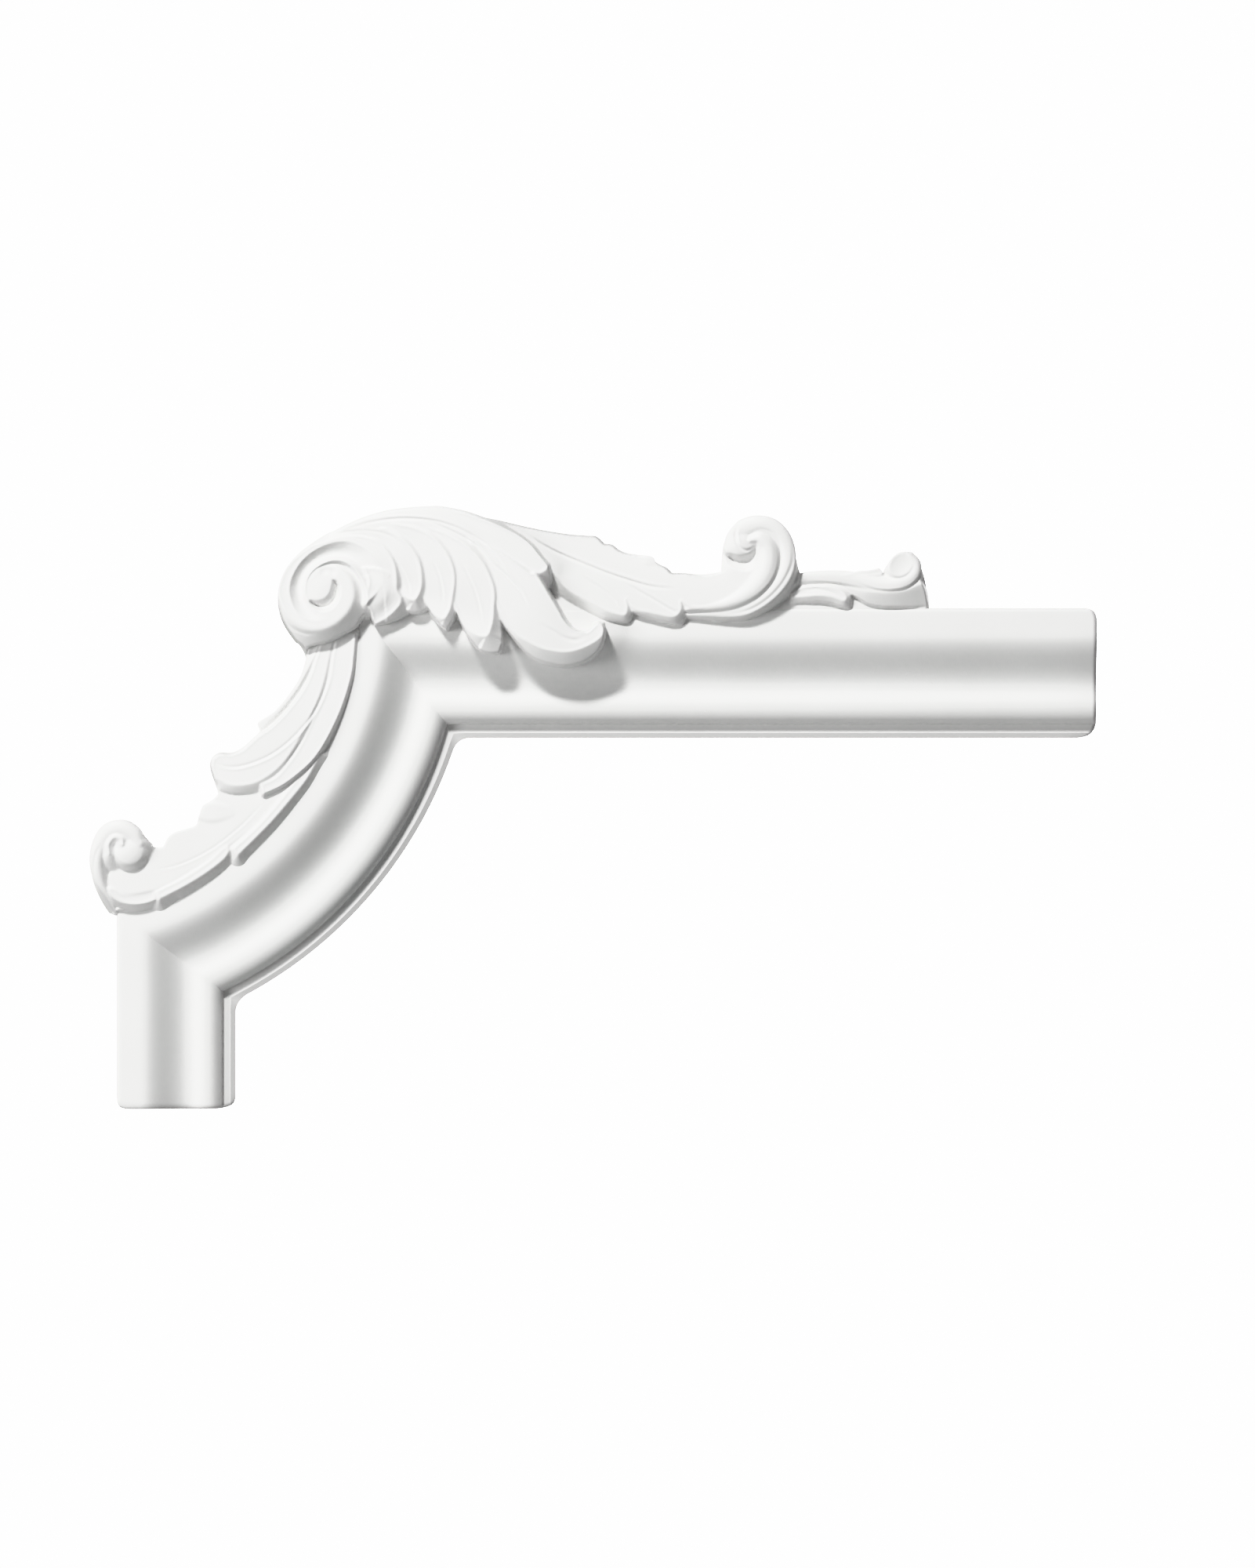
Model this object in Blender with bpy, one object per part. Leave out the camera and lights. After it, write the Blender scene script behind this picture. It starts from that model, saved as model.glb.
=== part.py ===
"""Moulding corner piece: a cast length of panel moulding that turns a corner over a scooped arc,
with an acanthus leaf, a volute and three small scrolls carved over its outer edge.

It is one casting. Its flat back lies in the plane Y = 0 and the relief stands out towards -Y.
X runs along the long arm and Z runs up. The origin is on the back, behind the upper mitre.
Sizes are written in millimetres, and become metres where a mesh is made.
"""

import math

import bmesh
import bpy
import numpy as np

MM = 0.001

# Long arm: it runs to the right, with its outer edge on top
LONG_ARM_WIDTH = 60.0
LONG_ARM_OUTER_Z = 31.3
LONG_ARM_END_X = 318.0

# Short arm: it runs down, with its outer edge on the left
SHORT_ARM_WIDTH = 54.4
SHORT_ARM_OUTER_X = -134.3
SHORT_ARM_END_Z = -200.0

# Scooped arc between the arms: its edge on the frame's side is a circle
ARC_CENTRE = (-170.9, 30.7)
ARC_RADIUS = 202.4
ARC_WIDTH_UPPER = 54.0
ARC_WIDTH_LOWER = 58.4
ARC_STEPS = 22

# Profile of the long arm, with places measured from the edge on the frame's side
PROJECTION = 28.0
FILLET_WIDTH = 6.3
FILLET_HEIGHT = 7.8
BEAD_PLACE = 15.4
BEAD_HEIGHT = 16.4
COVE_PLACE = 22.6
COVE_HEIGHT = 14.9
CREST_PLACE = 48.0
INNER_EDGE_RADIUS = 1.3
OUTER_EDGE_RADIUS = 1.8

# Flat faces across each round stretch of the profile
INNER_EDGE_STEPS = 2
BEAD_STEPS = 4
COVE_STEPS = 3
CREST_STEPS = 8
OUTER_EDGE_STEPS = 3

# Rounding of the two square ends
END_ROUNDING = 1.6
END_STEPS = 3

# The carving: the spacing of the points that it is worked out on, and the faces that it keeps
CARVING_CELL = 0.9
CARVING_FACES = 5600
CARVING_X = (-152.0, 246.0)
CARVING_Z = (-122.0, 84.0)

# Heights below the back, which is cut flat at the end
CARVING_FLOOR = -1.0
MOULDING_BASE = -2.0
CARVING_BASE = -3.0

# How far the carving's hidden edges stay inside the moulding, and the gap at which vertices are joined
HIDDEN_MARGIN = 0.6
OUTLINE_BLEND = 2.0
WELD = 0.001

SHARP_ANGLE = math.radians(38)


def smooth_curve(points, steps=8):
    """A smooth open curve through every point, whose rows may hold more than a place."""
    p = np.array(points, float)
    if len(p) < 3:
        return p
    p = np.vstack([2 * p[0] - p[1], p, 2 * p[-1] - p[-2]])
    t = np.linspace(0, 1, steps, endpoint=False)[:, None]
    rows = []
    for a, b, c, d in zip(p[:-3], p[1:-2], p[2:-1], p[3:]):
        linear = (c - a) * t
        square = (2 * a - 5 * b + 4 * c - d) * t**2
        cube = (3 * b - a - 3 * c + d) * t**3
        rows.append(0.5 * (2 * b + linear + square + cube))
    rows.append(p[-2][None])
    return np.vstack(rows)


def smooth_max(a, b, softness):
    mix = np.clip(0.5 + 0.5 * (a - b) / softness, 0, 1)
    return b + (a - b) * mix + softness * mix * (1 - mix)


def nearest_on(x, z, line):
    """Of each point: its distance to a line, the same with a sign (left is positive), its place in rows."""
    best = np.full(x.shape, np.inf)
    side = np.zeros(x.shape)
    place = np.zeros(x.shape)
    for i, (a, b) in enumerate(zip(line[:-1], line[1:])):
        dx, dz = b[0] - a[0], b[1] - a[1]
        length_squared = dx * dx + dz * dz
        if length_squared == 0:
            continue
        share = np.clip(((x - a[0]) * dx + (z - a[1]) * dz) / length_squared, 0, 1)
        squared = (x - a[0] - share * dx) ** 2 + (z - a[1] - share * dz) ** 2
        closer = squared < best
        best = np.where(closer, squared, best)
        place = np.where(closer, i + share, place)
        side = np.where(closer, np.sign(dx * (z - a[1]) - dz * (x - a[0])), side)
    distance = np.sqrt(best)
    return distance, distance * side, place


def inward_distance(x, z, outline):
    """How far each point is inside a closed outline. It is negative outside."""
    odd = np.zeros(x.shape, bool)
    for a, b in zip(outline, np.roll(outline, -1, axis=0)):
        if a[1] != b[1]:
            crosses = (a[1] > z) != (b[1] > z)
            odd ^= crosses & (x < (b[0] - a[0]) * (z - a[1]) / (b[1] - a[1]) + a[0])
    distance, _, _ = nearest_on(x, z, np.vstack([outline, outline[:1]]))
    return np.where(odd, distance, -distance)


def blended_height(x, z, line, softness=3.0):
    """A height for every point from the heights along a line, with the near ones counting most."""
    squared = (x[..., None] - line[:, 0]) ** 2 + (z[..., None] - line[:, 1]) ** 2
    nearest = squared.min(axis=-1, keepdims=True)
    weight = np.exp((nearest - squared) / (2 * softness**2 + 0.3 * nearest))
    return (weight * line[:, 2]).sum(axis=-1) / weight.sum(axis=-1)


class Relief:
    """Carving as heights on a grid, built up lobe by lobe and then hollowed.

    The heights in its lists of points are above the moulding's crest. The footprint is how far
    each point is inside the carving's outline.
    """

    BLEND = 0.4
    FADE = 0.25
    LEAST_WIDTH = 0.05

    def __init__(self, x_range, z_range, cell):
        self.x = np.arange(x_range[0], x_range[1] + cell, cell)
        self.z = np.arange(z_range[0], z_range[1] + cell, cell)
        self.height = np.full((len(self.z), len(self.x)), CARVING_FLOOR)
        self.footprint = np.full(self.height.shape, -PROJECTION)

    def window(self, points, margin):
        """The part of the grid round some points, and the places in it."""
        low = points.min(axis=0) - margin
        high = points.max(axis=0) + margin
        i0, i1 = np.searchsorted(self.x, (low[0], high[0]))
        j0, j1 = np.searchsorted(self.z, (low[1], high[1]))
        x, z = np.meshgrid(self.x[i0:i1], self.z[j0:j1])
        return (slice(j0, j1), slice(i0, i1)), x, z

    def add(self, part, top, inward, slope, roll):
        wall = smooth_max(0.0, -slope * inward, roll)
        new = np.maximum(PROJECTION + top - wall, CARVING_FLOOR)
        self.height[part] = smooth_max(self.height[part], new, self.BLEND)
        self.footprint[part] = np.maximum(self.footprint[part], inward)

    def lobe(self, edges, ridge, slope=2.5, roll=2.0, camber=(0.0, 0.0), tilt=0.0):
        """A lobe: its edges are smooth curves that meet in corners, and its top has the ridge's heights.

        Slope is the steepness of its walls, roll softens the edge between top and wall, camber is
        how fast the top falls to the left and right of the ridge, and tilt leans it over.
        """
        outline = np.vstack([smooth_curve(edge)[:-1] for edge in edges])
        part, x, z = self.window(outline, 2 * PROJECTION / slope)
        line = smooth_curve(ridge)
        top = blended_height(x, z, line)
        if tilt or any(camber):
            _, side, _ = nearest_on(x, z, line)
            top += tilt * side - np.where(side > 0, camber[0], camber[1]) * side**2
        self.add(part, top, inward_distance(x, z, outline), slope, roll)

    def strand(self, rows, crown=1.0, slope=2.5, roll=2.0, tilt=0.0):
        """A rounded strand along a curve, from rows of x, z, half width and height."""
        line = smooth_curve(rows)
        part, x, z = self.window(line[:, :2], 2 * PROJECTION / slope)
        distance, side, place = nearest_on(x, z, line)
        count = np.arange(len(line))
        width = np.maximum(np.interp(place, count, line[:, 2]), self.LEAST_WIDTH)
        across = np.clip(side / width, -1, 1)
        top = np.interp(place, count, line[:, 3]) - crown * across**2 + tilt * across
        self.add(part, top, width - distance, slope, roll)

    def button(self, centre, radius, height, fall, slope=2.5, roll=2.0, stretch=1.0, turn=0.0):
        """A round or oval button. Its middle is at the height, and its edge is lower by the fall."""
        part, x, z = self.window(np.array([centre]), radius * stretch + 2 * PROJECTION / slope)
        dx, dz = x - centre[0], z - centre[1]
        along = (dx * math.cos(turn) + dz * math.sin(turn)) / stretch
        across = (dz * math.cos(turn) - dx * math.sin(turn)) * stretch
        distance = np.hypot(along, across)
        top = height - fall * np.clip(distance / radius, 0, 1) ** 2
        self.add(part, top, radius - distance, slope, roll)

    def hollow(self, rows, power=1.0):
        """A hollow along a curve, from rows of x, z, width to the left, width to the right and depth."""
        line = smooth_curve(rows)
        part, x, z = self.window(line[:, :2], line[:, 2:4].max())
        _, side, place = nearest_on(x, z, line)
        count = np.arange(len(line))
        left, right, depth = (np.interp(place, count, line[:, i]) for i in (2, 3, 4))
        width = np.maximum(np.where(side > 0, left, right), self.LEAST_WIDTH)
        across = np.clip(np.abs(side) / width, 0, 1) ** power
        self.height[part] -= depth * (0.5 + 0.5 * np.cos(math.pi * across))

    def groove(self, points, width, depth):
        """A fine groove along a curve that fades at both ends. A negative depth makes a fine ridge."""
        line = smooth_curve(points)
        part, x, z = self.window(line, 3 * width)
        distance, _, place = nearest_on(x, z, line)
        share = place / (len(line) - 1)
        ends = np.clip(np.minimum(share, 1 - share) / self.FADE, 0, 1)
        self.height[part] -= depth * ends * np.exp(-((distance / width) ** 2))


def ground(relief):
    """Ground level with the moulding's crest, which closes the gaps between the carving and the moulding."""
    relief.lobe(
        [
            [(-24, 26), (-22, 45), (10, 60), (50, 54), (72, 46), (100, 38), (150, 46), (176, 44),
             (184, 37.5)],
            [(184, 37.5), (204, 36), (222, 35), (238, 35), (239.4, 32.5), (239.4, 27)],
            [(239.4, 27), (100, 24), (-24, 26)],
        ],
        [(-20, 40, -0.4), (100, 34, -0.4), (230, 32, -0.4)],
        roll=0.5,
    )
    relief.lobe(
        [
            [(-45.5, 8), (-51, -3), (-66, -24), (-84, -44), (-92, -66), (-116, -84), (-132, -96),
             (-135.5, -113)],
            [(-135.5, -113), (-131, -112), (-104, -99), (-76, -81), (-52, -58), (-36, -34), (-24, 2),
             (-21, 26)],
            [(-21, 26), (-40, 24), (-45.5, 8)],
        ],
        [(-36, 12, -0.6), (-62, -50, -0.6), (-130, -104, -0.6)],
        roll=0.5,
    )


def lower_leaf(relief):
    """The long leaf that lies on the arc, from under the volute down to the lower scroll."""
    relief.lobe(
        [
            [(-42, 22), (-44, 12), (-60, -16), (-72, -31), (-84, -42), (-88.5, -56.5)],
            [(-88.5, -56.5), (-92.5, -60), (-95.3, -62), (-96, -67)],
            [(-96, -67), (-98, -69), (-104, -71), (-107.5, -72.2), (-110.5, -74.5), (-112.6, -78.6)],
            [(-112.6, -78.6), (-115.5, -79.2), (-119, -78.5)],
            [(-119, -78.5), (-130, -84), (-137, -93), (-136, -99), (-128, -100), (-116, -98)],
            [(-116, -98), (-104, -92), (-76, -74), (-50, -46), (-30, -10), (-26, 12), (-25, 22)],
        ],
        [(-34, 22, 0.8), (-44, -12, 1.4), (-76, -60, 2.2), (-96, -78, 2.2), (-118, -89, 2.6),
         (-132, -92, 3.2)],
        roll=1.8,
    )
    # Low lobe between the two notches of the outline
    relief.lobe(
        [[(-84, -60), (-90, -58.5), (-93.5, -60.2), (-96, -65.5)], [(-96, -65.5), (-86, -66), (-80, -64)]],
        [(-80, -62, 2.2), (-90, -62.5, 3), (-95, -63.5, 2.6)],
        roll=1.5,
    )
    # Two strips along the foot of the leaf
    relief.lobe(
        [
            [(-38, -34), (-46, -45.5), (-53, -53.8), (-69, -70.8), (-79.3, -80.5)],
            [(-79.3, -80.5), (-79, -76)],
            [(-79, -76), (-60, -57), (-42, -34)],
        ],
        [(-40, -34, 2), (-52, -50.5, 2.6), (-64, -64, 2.8), (-78, -77.5, 2.8)],
        slope=2.2,
    )
    relief.lobe(
        [
            [(-78, -76), (-83, -81.5), (-90, -86.5), (-106, -95.6), (-115, -101)],
            [(-115, -101), (-114.8, -96)],
            [(-114.8, -96), (-94, -84), (-84, -76)],
        ],
        [(-80, -76, 2.4), (-92, -85, 2.6), (-103, -91.3, 2.7), (-114, -97.5, 2.8)],
        slope=2.2,
    )
    # Back lobe on the left edge
    relief.lobe(
        [
            [(-40, 20), (-42, 12), (-46.2, 5), (-50.5, -4), (-55.5, -10.5), (-61.5, -16.5), (-67.3, -20.3)],
            [(-67.3, -20.3), (-69, -22), (-68.6, -25)],
            [(-68.6, -25), (-54, -13), (-41, 10), (-40, 20)],
        ],
        [(-41, 18, 2.4), (-51, -6, 3), (-60, -17.5, 3.2), (-67.5, -23.5, 3)],
        roll=1.8,
    )
    # Main lobe, curled over the rest
    relief.lobe(
        [
            [(-38.5, 20), (-41, 12), (-46.5, -3.5), (-54, -14.5), (-62, -23), (-69, -28),
             (-75.5, -33.8), (-81, -36.2),
             (-86.5, -36.3), (-89.3, -38.2)],
            [(-89.3, -38.2), (-89.6, -42), (-88, -46.5)],
            [(-88, -46.5), (-84, -48.8), (-77, -50), (-70, -49.3), (-64.5, -47.3), (-59.5, -44.6),
             (-55.5, -40.5)],
            [(-55.5, -40.5), (-48, -30), (-41, -16), (-36, 0), (-33, 12), (-31, 20)],
        ],
        [(-35, 20, 2), (-42, -8, 3.4), (-52, -24, 4.8), (-64, -36, 5.6), (-78, -42.5, 5.8),
         (-89, -42, 5.6)],
        roll=2.6,
        tilt=0.02,
    )
    # Strip on its right, with a tip of its own
    relief.lobe(
        [
            [(-24, 20), (-25, 12), (-26.3, 2), (-31.2, -15.5), (-39.5, -32), (-44, -38.8), (-50, -44.8),
             (-57, -49.8),
             (-66, -53.3)],
            [(-66, -53.3), (-67.3, -51.5), (-66, -49.4)],
            [(-66, -49.4), (-61, -46.8), (-56.5, -42.3), (-50.5, -33.5), (-43, -19), (-37.3, -4), (-34, 12),
             (-32, 20)],
        ],
        [(-28, 20, 2.2), (-32.5, -6, 2.5), (-40, -24, 3.2), (-50, -38, 4.2), (-60, -48, 4.8),
         (-66, -51.5, 5)],
        roll=2.4,
        tilt=-0.03,
    )
    relief.groove([(-34.5, 10), (-36.2, 0), (-44, -16.5), (-57, -30.7), (-72, -39.6), (-79, -41),
                   (-87, -40)], 0.9, 1.3)


def lower_scroll(relief):
    """The scroll at the lower end of the leaf."""
    # Ground that carries the scroll
    relief.lobe(
        [
            [(-118, -78), (-126, -72), (-138, -72), (-145, -84), (-144.5, -96), (-141, -104.5),
             (-134.6, -114.5)],
            [(-134.6, -114.5), (-130.5, -106), (-120, -92), (-118, -78)],
        ],
        [(-130, -80, 0), (-138, -96, -1), (-135, -112, -8)],
        slope=2.6,
        roll=1.5,
    )
    # Outer strand, round to the front of the ball
    relief.strand(
        [
            (-134.5, -107.5, 0.8, -1),
            (-138.0, -101, 1.7, 3),
            (-141.3, -94, 2.6, 5.5),
            (-143.0, -86, 3.1, 7.2),
            (-142.2, -78.5, 3.4, 8.4),
            (-138.4, -72.3, 3.6, 9.2),
            (-132.4, -69.8, 3.5, 9.6),
            (-127.4, -72, 3.2, 9.4),
            (-125.6, -76.6, 2.8, 8.6),
        ],
        crown=1.6,
        slope=2.6,
    )
    relief.button((-127.6, -79.3), 7.2, 8.6, 2.4, slope=2.8, roll=2.6)
    relief.strand(
        [(-133.2, -71.8, 1.6, 9.6), (-131.0, -74.6, 1.7, 10), (-131.3, -78, 1.8, 10),
         (-133.9, -79.8, 1.6, 9.4)],
        crown=1.2,
    )
    relief.groove([(-124.2, -70.5), (-125.6, -76), (-128.8, -79.8), (-133.6, -82)], 0.9, 1.5)
    # Small curl along the foot, where the leaf rolls over
    relief.strand(
        [(-115.6, -99.6, 1.8, 3), (-127.3, -101.8, 1.9, 3.6), (-133, -100.4, 1.8, 4),
         (-137, -97.4, 1.4, 4.4)],
        slope=2.2,
        roll=1.6,
    )


def long_leaf(relief):
    """The leaf that runs on behind the big one, along the long arm."""
    relief.lobe(
        [
            [(30, 76), (43.5, 72.3), (57.8, 68.3), (72.3, 65.8), (82, 64.9), (87, 64.5), (90.8, 61.2)],
            [(90.8, 61.2), (94.5, 60.6), (97.5, 58.3), (101, 56.8), (105.5, 56), (112.6, 55),
             (114.4, 52.6)],
            [(114.4, 52.6), (116.5, 51.3), (119.5, 50), (122, 47.6)],
            [(122, 47.6), (128, 47.5), (134, 46.9), (140, 47.2), (146, 48.6), (152, 52)],
            [(152, 52), (158, 44), (152, 36), (140, 31.4), (131, 30.1), (124.6, 32.8)],
            [(124.6, 32.8), (123.8, 29.4), (119.6, 26.3), (115, 26.8), (104, 29.9), (98.8, 34.8)],
            [(98.8, 34.8), (99.3, 31), (96, 27.8), (86.5, 31.4), (74, 39), (62, 52), (40, 68)],
        ],
        [(40, 71, 6), (60, 60, 5.6), (75, 52, 5.4), (95, 44, 5.6), (115, 40, 6), (135, 40, 6.8),
         (152, 43, 8)],
        slope=2.3,
        roll=2.2,
        camber=(0.004, 0.006),
    )
    # Thick foot under its edge
    relief.lobe(
        [
            [(70, 40), (80, 33.2), (88, 29.8), (95, 27.4), (101.5, 27), (104, 28.4), (110, 27), (116, 25.2),
             (125, 24.4), (127.5, 27.2), (133, 27), (150, 27)],
            [(150, 27), (150, 40)],
            [(150, 40), (120, 40), (95, 42), (70, 48), (70, 40)],
        ],
        [(75, 40, 0), (100, 36, 1), (125, 34, 1), (150, 34, 1)],
        roll=1.5,
    )
    relief.groove([(52, 67.6), (66, 59.3), (75, 54.2), (85, 49.6), (95, 45.7), (105, 42.9),
                   (126, 40)], 0.9, 1.1)


def right_scroll(relief):
    """The scroll that rises where the long leaf ends."""
    # Ground that carries the scroll
    relief.lobe(
        [
            [(145.2, 50), (145, 56), (146.2, 62), (151.4, 70.6), (156, 73), (161.5, 73.9), (167, 72.8),
             (172.6, 69.4), (176.6, 64.4), (179.6, 52), (181, 47)],
            [(181, 47), (178, 41), (164, 29.5), (154, 26.6), (140, 26.4), (145.2, 50)],
        ],
        [(150, 55, 4), (165, 50, 4), (160, 32, 1)],
        slope=2.6,
        roll=1.5,
    )
    # Hollow face that the leaf rolls up from
    relief.lobe(
        [
            [(140, 42), (147, 49), (152, 52), (165, 56)],
            [(165, 56), (166, 50), (162, 42), (152, 36), (142, 34), (140, 42)],
        ],
        [(142, 38, 7.5), (154, 44, 7.8), (163, 52, 8.5)],
        slope=2.0,
    )
    # Inner and outer strand
    relief.strand(
        [
            (131, 31.2, 1.6, 6),
            (141, 31.6, 2.9, 7.2),
            (151, 33.9, 3.9, 8.4),
            (159.5, 38.6, 4.5, 9.6),
            (165.4, 45.3, 4.5, 10.8),
            (167.9, 53, 4.3, 11.8),
            (167.2, 59.6, 3.9, 12.4),
            (163.8, 64.3, 3.2, 12.8),
            (157.6, 63.6, 1.6, 12.2),
        ],
        crown=1.9,
        tilt=0.9,
    )
    relief.strand(
        [
            (128, 27.8, 1.1, 3),
            (151, 28.3, 2.2, 5.8),
            (160, 31.3, 2.7, 7),
            (168, 36.6, 3.0, 8.2),
            (173.4, 43, 3.2, 9.2),
            (176.0, 50, 3.3, 10),
            (176.0, 57.4, 3.3, 10.8),
            (173.7, 63.8, 3.4, 11.5),
            (169, 68.6, 3.6, 12.2),
            (162.6, 70.6, 3.6, 12.6),
            (156.6, 69.4, 3.6, 12.4),
            (152.3, 65.8, 3.6, 11.8),
        ],
        crown=1.7,
        slope=2.6,
    )
    relief.button((153.6, 60.8), 7.6, 12.6, 2.6, slope=2.7, roll=2.8)
    relief.groove([(147.5, 58), (151, 55.5), (156, 55.8), (160, 58.3), (162, 61.5)], 0.9, 1.6)
    relief.button((154.2, 55.6), 7.0, 9.4, 2.2, roll=2.4)


def sprig(relief):
    """The last leaves on the long arm, which end in a small scroll."""
    # Foot of the sprig
    relief.lobe(
        [
            [(178, 40), (180, 46.2), (187, 47.6), (196, 48.6), (206, 48.0), (219, 46.5)],
            [(219, 46.5), (221, 51), (225, 56), (229, 57.2), (232.7, 56.3), (235.6, 52.8), (238.8, 43),
             (240.2, 32.3)],
            [(240.2, 32.3), (224, 31.6), (204, 34), (196, 33.5), (178, 32), (178, 40)],
        ],
        [(182, 40, -1.5), (205, 40, -1.5), (225, 38, -1), (238, 36, -1)],
        slope=2.6,
        roll=1.5,
    )
    relief.lobe(
        [
            [(176, 38), (181.5, 40.8), (188, 41.9), (194.5, 41.2), (199, 39.4), (202.4, 35.2)],
            [(202.4, 35.2), (201.4, 33.9), (190, 36), (176, 35), (176, 38)],
        ],
        [(177, 37, 2), (188, 39, 3.2), (197, 37.8, 3.4), (201.5, 35.6, 2.8)],
        slope=2.3,
        roll=1.6,
    )
    # Lower and upper strand
    relief.strand(
        [(196, 40, 2.2, 0.5), (204, 38.6, 3.0, 1.6), (212, 36.6, 2.8, 2.2), (228, 36.2, 3.0, 2.4),
         (237.3, 38.6, 2.6, 1.6)],
        slope=2.3,
    )
    relief.strand(
        [
            (178, 43, 2.9, 2.5),
            (186, 45.1, 3.0, 3.8),
            (202, 44.9, 3.5, 4.6),
            (218, 41.5, 3.4, 5.2),
            (225, 41.4, 3.0, 5.8),
            (231, 43.6, 2.6, 6.4),
            (234.4, 47.8, 2.3, 6.8),
            (234.6, 52.0, 2.1, 7),
            (231.6, 55.0, 2.0, 7),
        ],
        crown=1.3,
        slope=2.3,
    )
    # Tip of the upper leaf, and the face of the small scroll
    relief.lobe(
        [
            [(200, 46), (207, 48.2), (213, 48.8), (217.3, 49.6)],
            [(217.3, 49.6), (218.6, 47.6), (216, 46.2), (204, 44), (200, 46)],
        ],
        [(203, 46, 3.8), (217, 48.3, 3.8)],
        slope=2.2,
        roll=1.4,
    )
    relief.button((227.6, 51.2), 5.7, 6.4, 1.2, slope=2.6, stretch=1.1, turn=math.radians(43))


def volute(relief):
    """The volute at the stalk of the big leaf, whose band winds in to a round eye."""
    # Drum under the band, with the neck that joins it to the arc
    relief.lobe(
        [
            [(-44, 9), (-46.3, 6.5), (-47.2, 10.6), (-49.5, 13.8), (-52.3, 15.8)],
            [(-52.3, 15.8), (-55.2, 19.6), (-57.6, 24.2), (-59.2, 30), (-59.7, 36), (-59, 42), (-57, 47.2),
             (-54, 52), (-49.5, 56.9), (-43.2, 61.6), (-36, 66), (-28, 69.6)],
            [(-28, 69.6), (-16, 60), (-13, 44), (-16, 34), (-20.5, 27), (-25, 19.5), (-33, 17),
             (-44, 15.5), (-44, 9)],
        ],
        [(-40, 10, -6), (-40, 30, 1), (-40, 60, 5)],
        slope=3.0,
        roll=1.5,
    )
    # Leaf that feeds the band and ends in a lip beside it
    relief.lobe(
        [
            [(-37, 49), (-37, 52.8), (-31, 53.2), (-26, 51.5), (-22, 47.5), (-19.8, 43), (-18.8, 38.5),
             (-18.5, 33)],
            [(-18.5, 33), (-15, 37), (-12.5, 39.5)],
            [(-12.5, 39.5), (-8, 50), (-20, 64), (-40, 62), (-50, 54), (-37, 49)],
        ],
        [(-48, 54, 11.5), (-30, 58, 11.5), (-18, 50, 11), (-16, 38, 9.5)],
        roll=1.4,
    )
    # Winding band, with its eye
    relief.lobe(
        [
            [(-59.4, 38), (-59.0, 31), (-55.5, 25.5), (-50, 22.2), (-43, 20.7), (-36, 22.4),
             (-30, 26.4), (-26.2, 31.6),
             (-24.3, 38), (-24.9, 43.5), (-27.6, 48), (-32, 51), (-37, 52.2)],
            [(-37, 52.2), (-40, 62), (-43.2, 61.6), (-49.5, 56.9), (-54, 52), (-57, 47.2), (-59.4, 38)],
        ],
        [(-55, 46, 11.5), (-54, 30, 11.5), (-42, 24, 12.5), (-29, 32, 13), (-28, 42, 13),
         (-37, 49, 12.5), (-42, 42, 12)],
        slope=2.8,
        roll=2.4,
    )
    # Spiral channel, from the lip round to where it fades out under the eye
    relief.hollow(
        [
            (-15.6, 38, 0.6, 1.2, 1.0),
            (-15.4, 45, 3.6, 3.0, 2.6),
            (-19.5, 52, 4.6, 3.6, 4.0),
            (-26.5, 57.2, 5.2, 4.0, 5.0),
            (-35, 58, 6.0, 3.4, 5.5),
            (-43, 54.4, 6.4, 3.2, 5.5),
            (-49, 48.6, 5.0, 3.2, 5.0),
            (-51.8, 41.5, 4.6, 2.6, 4.0),
            (-51.2, 34.5, 4.2, 2.4, 2.6),
            (-47.4, 28.6, 3.4, 2.2, 1.4),
            (-41, 25.6, 2.6, 2.0, 0.6),
            (-33, 26.6, 2.0, 1.5, 0),
        ]
    )
    # Hollow round the eye
    relief.hollow(
        [
            (-33.6, 44, 1.6, 1.2, 2.0),
            (-33.0, 41, 2.0, 2.2, 6.5),
            (-34.4, 36.6, 2.2, 2.6, 8.0),
            (-38.4, 33.0, 2.4, 3.0, 8.0),
            (-43.0, 33.6, 2.4, 2.6, 5.0),
            (-46.2, 37.2, 1.6, 1.6, 1.4),
            (-46.6, 42, 1.0, 1.2, 0.5),
        ],
        power=1.6,
    )


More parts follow.
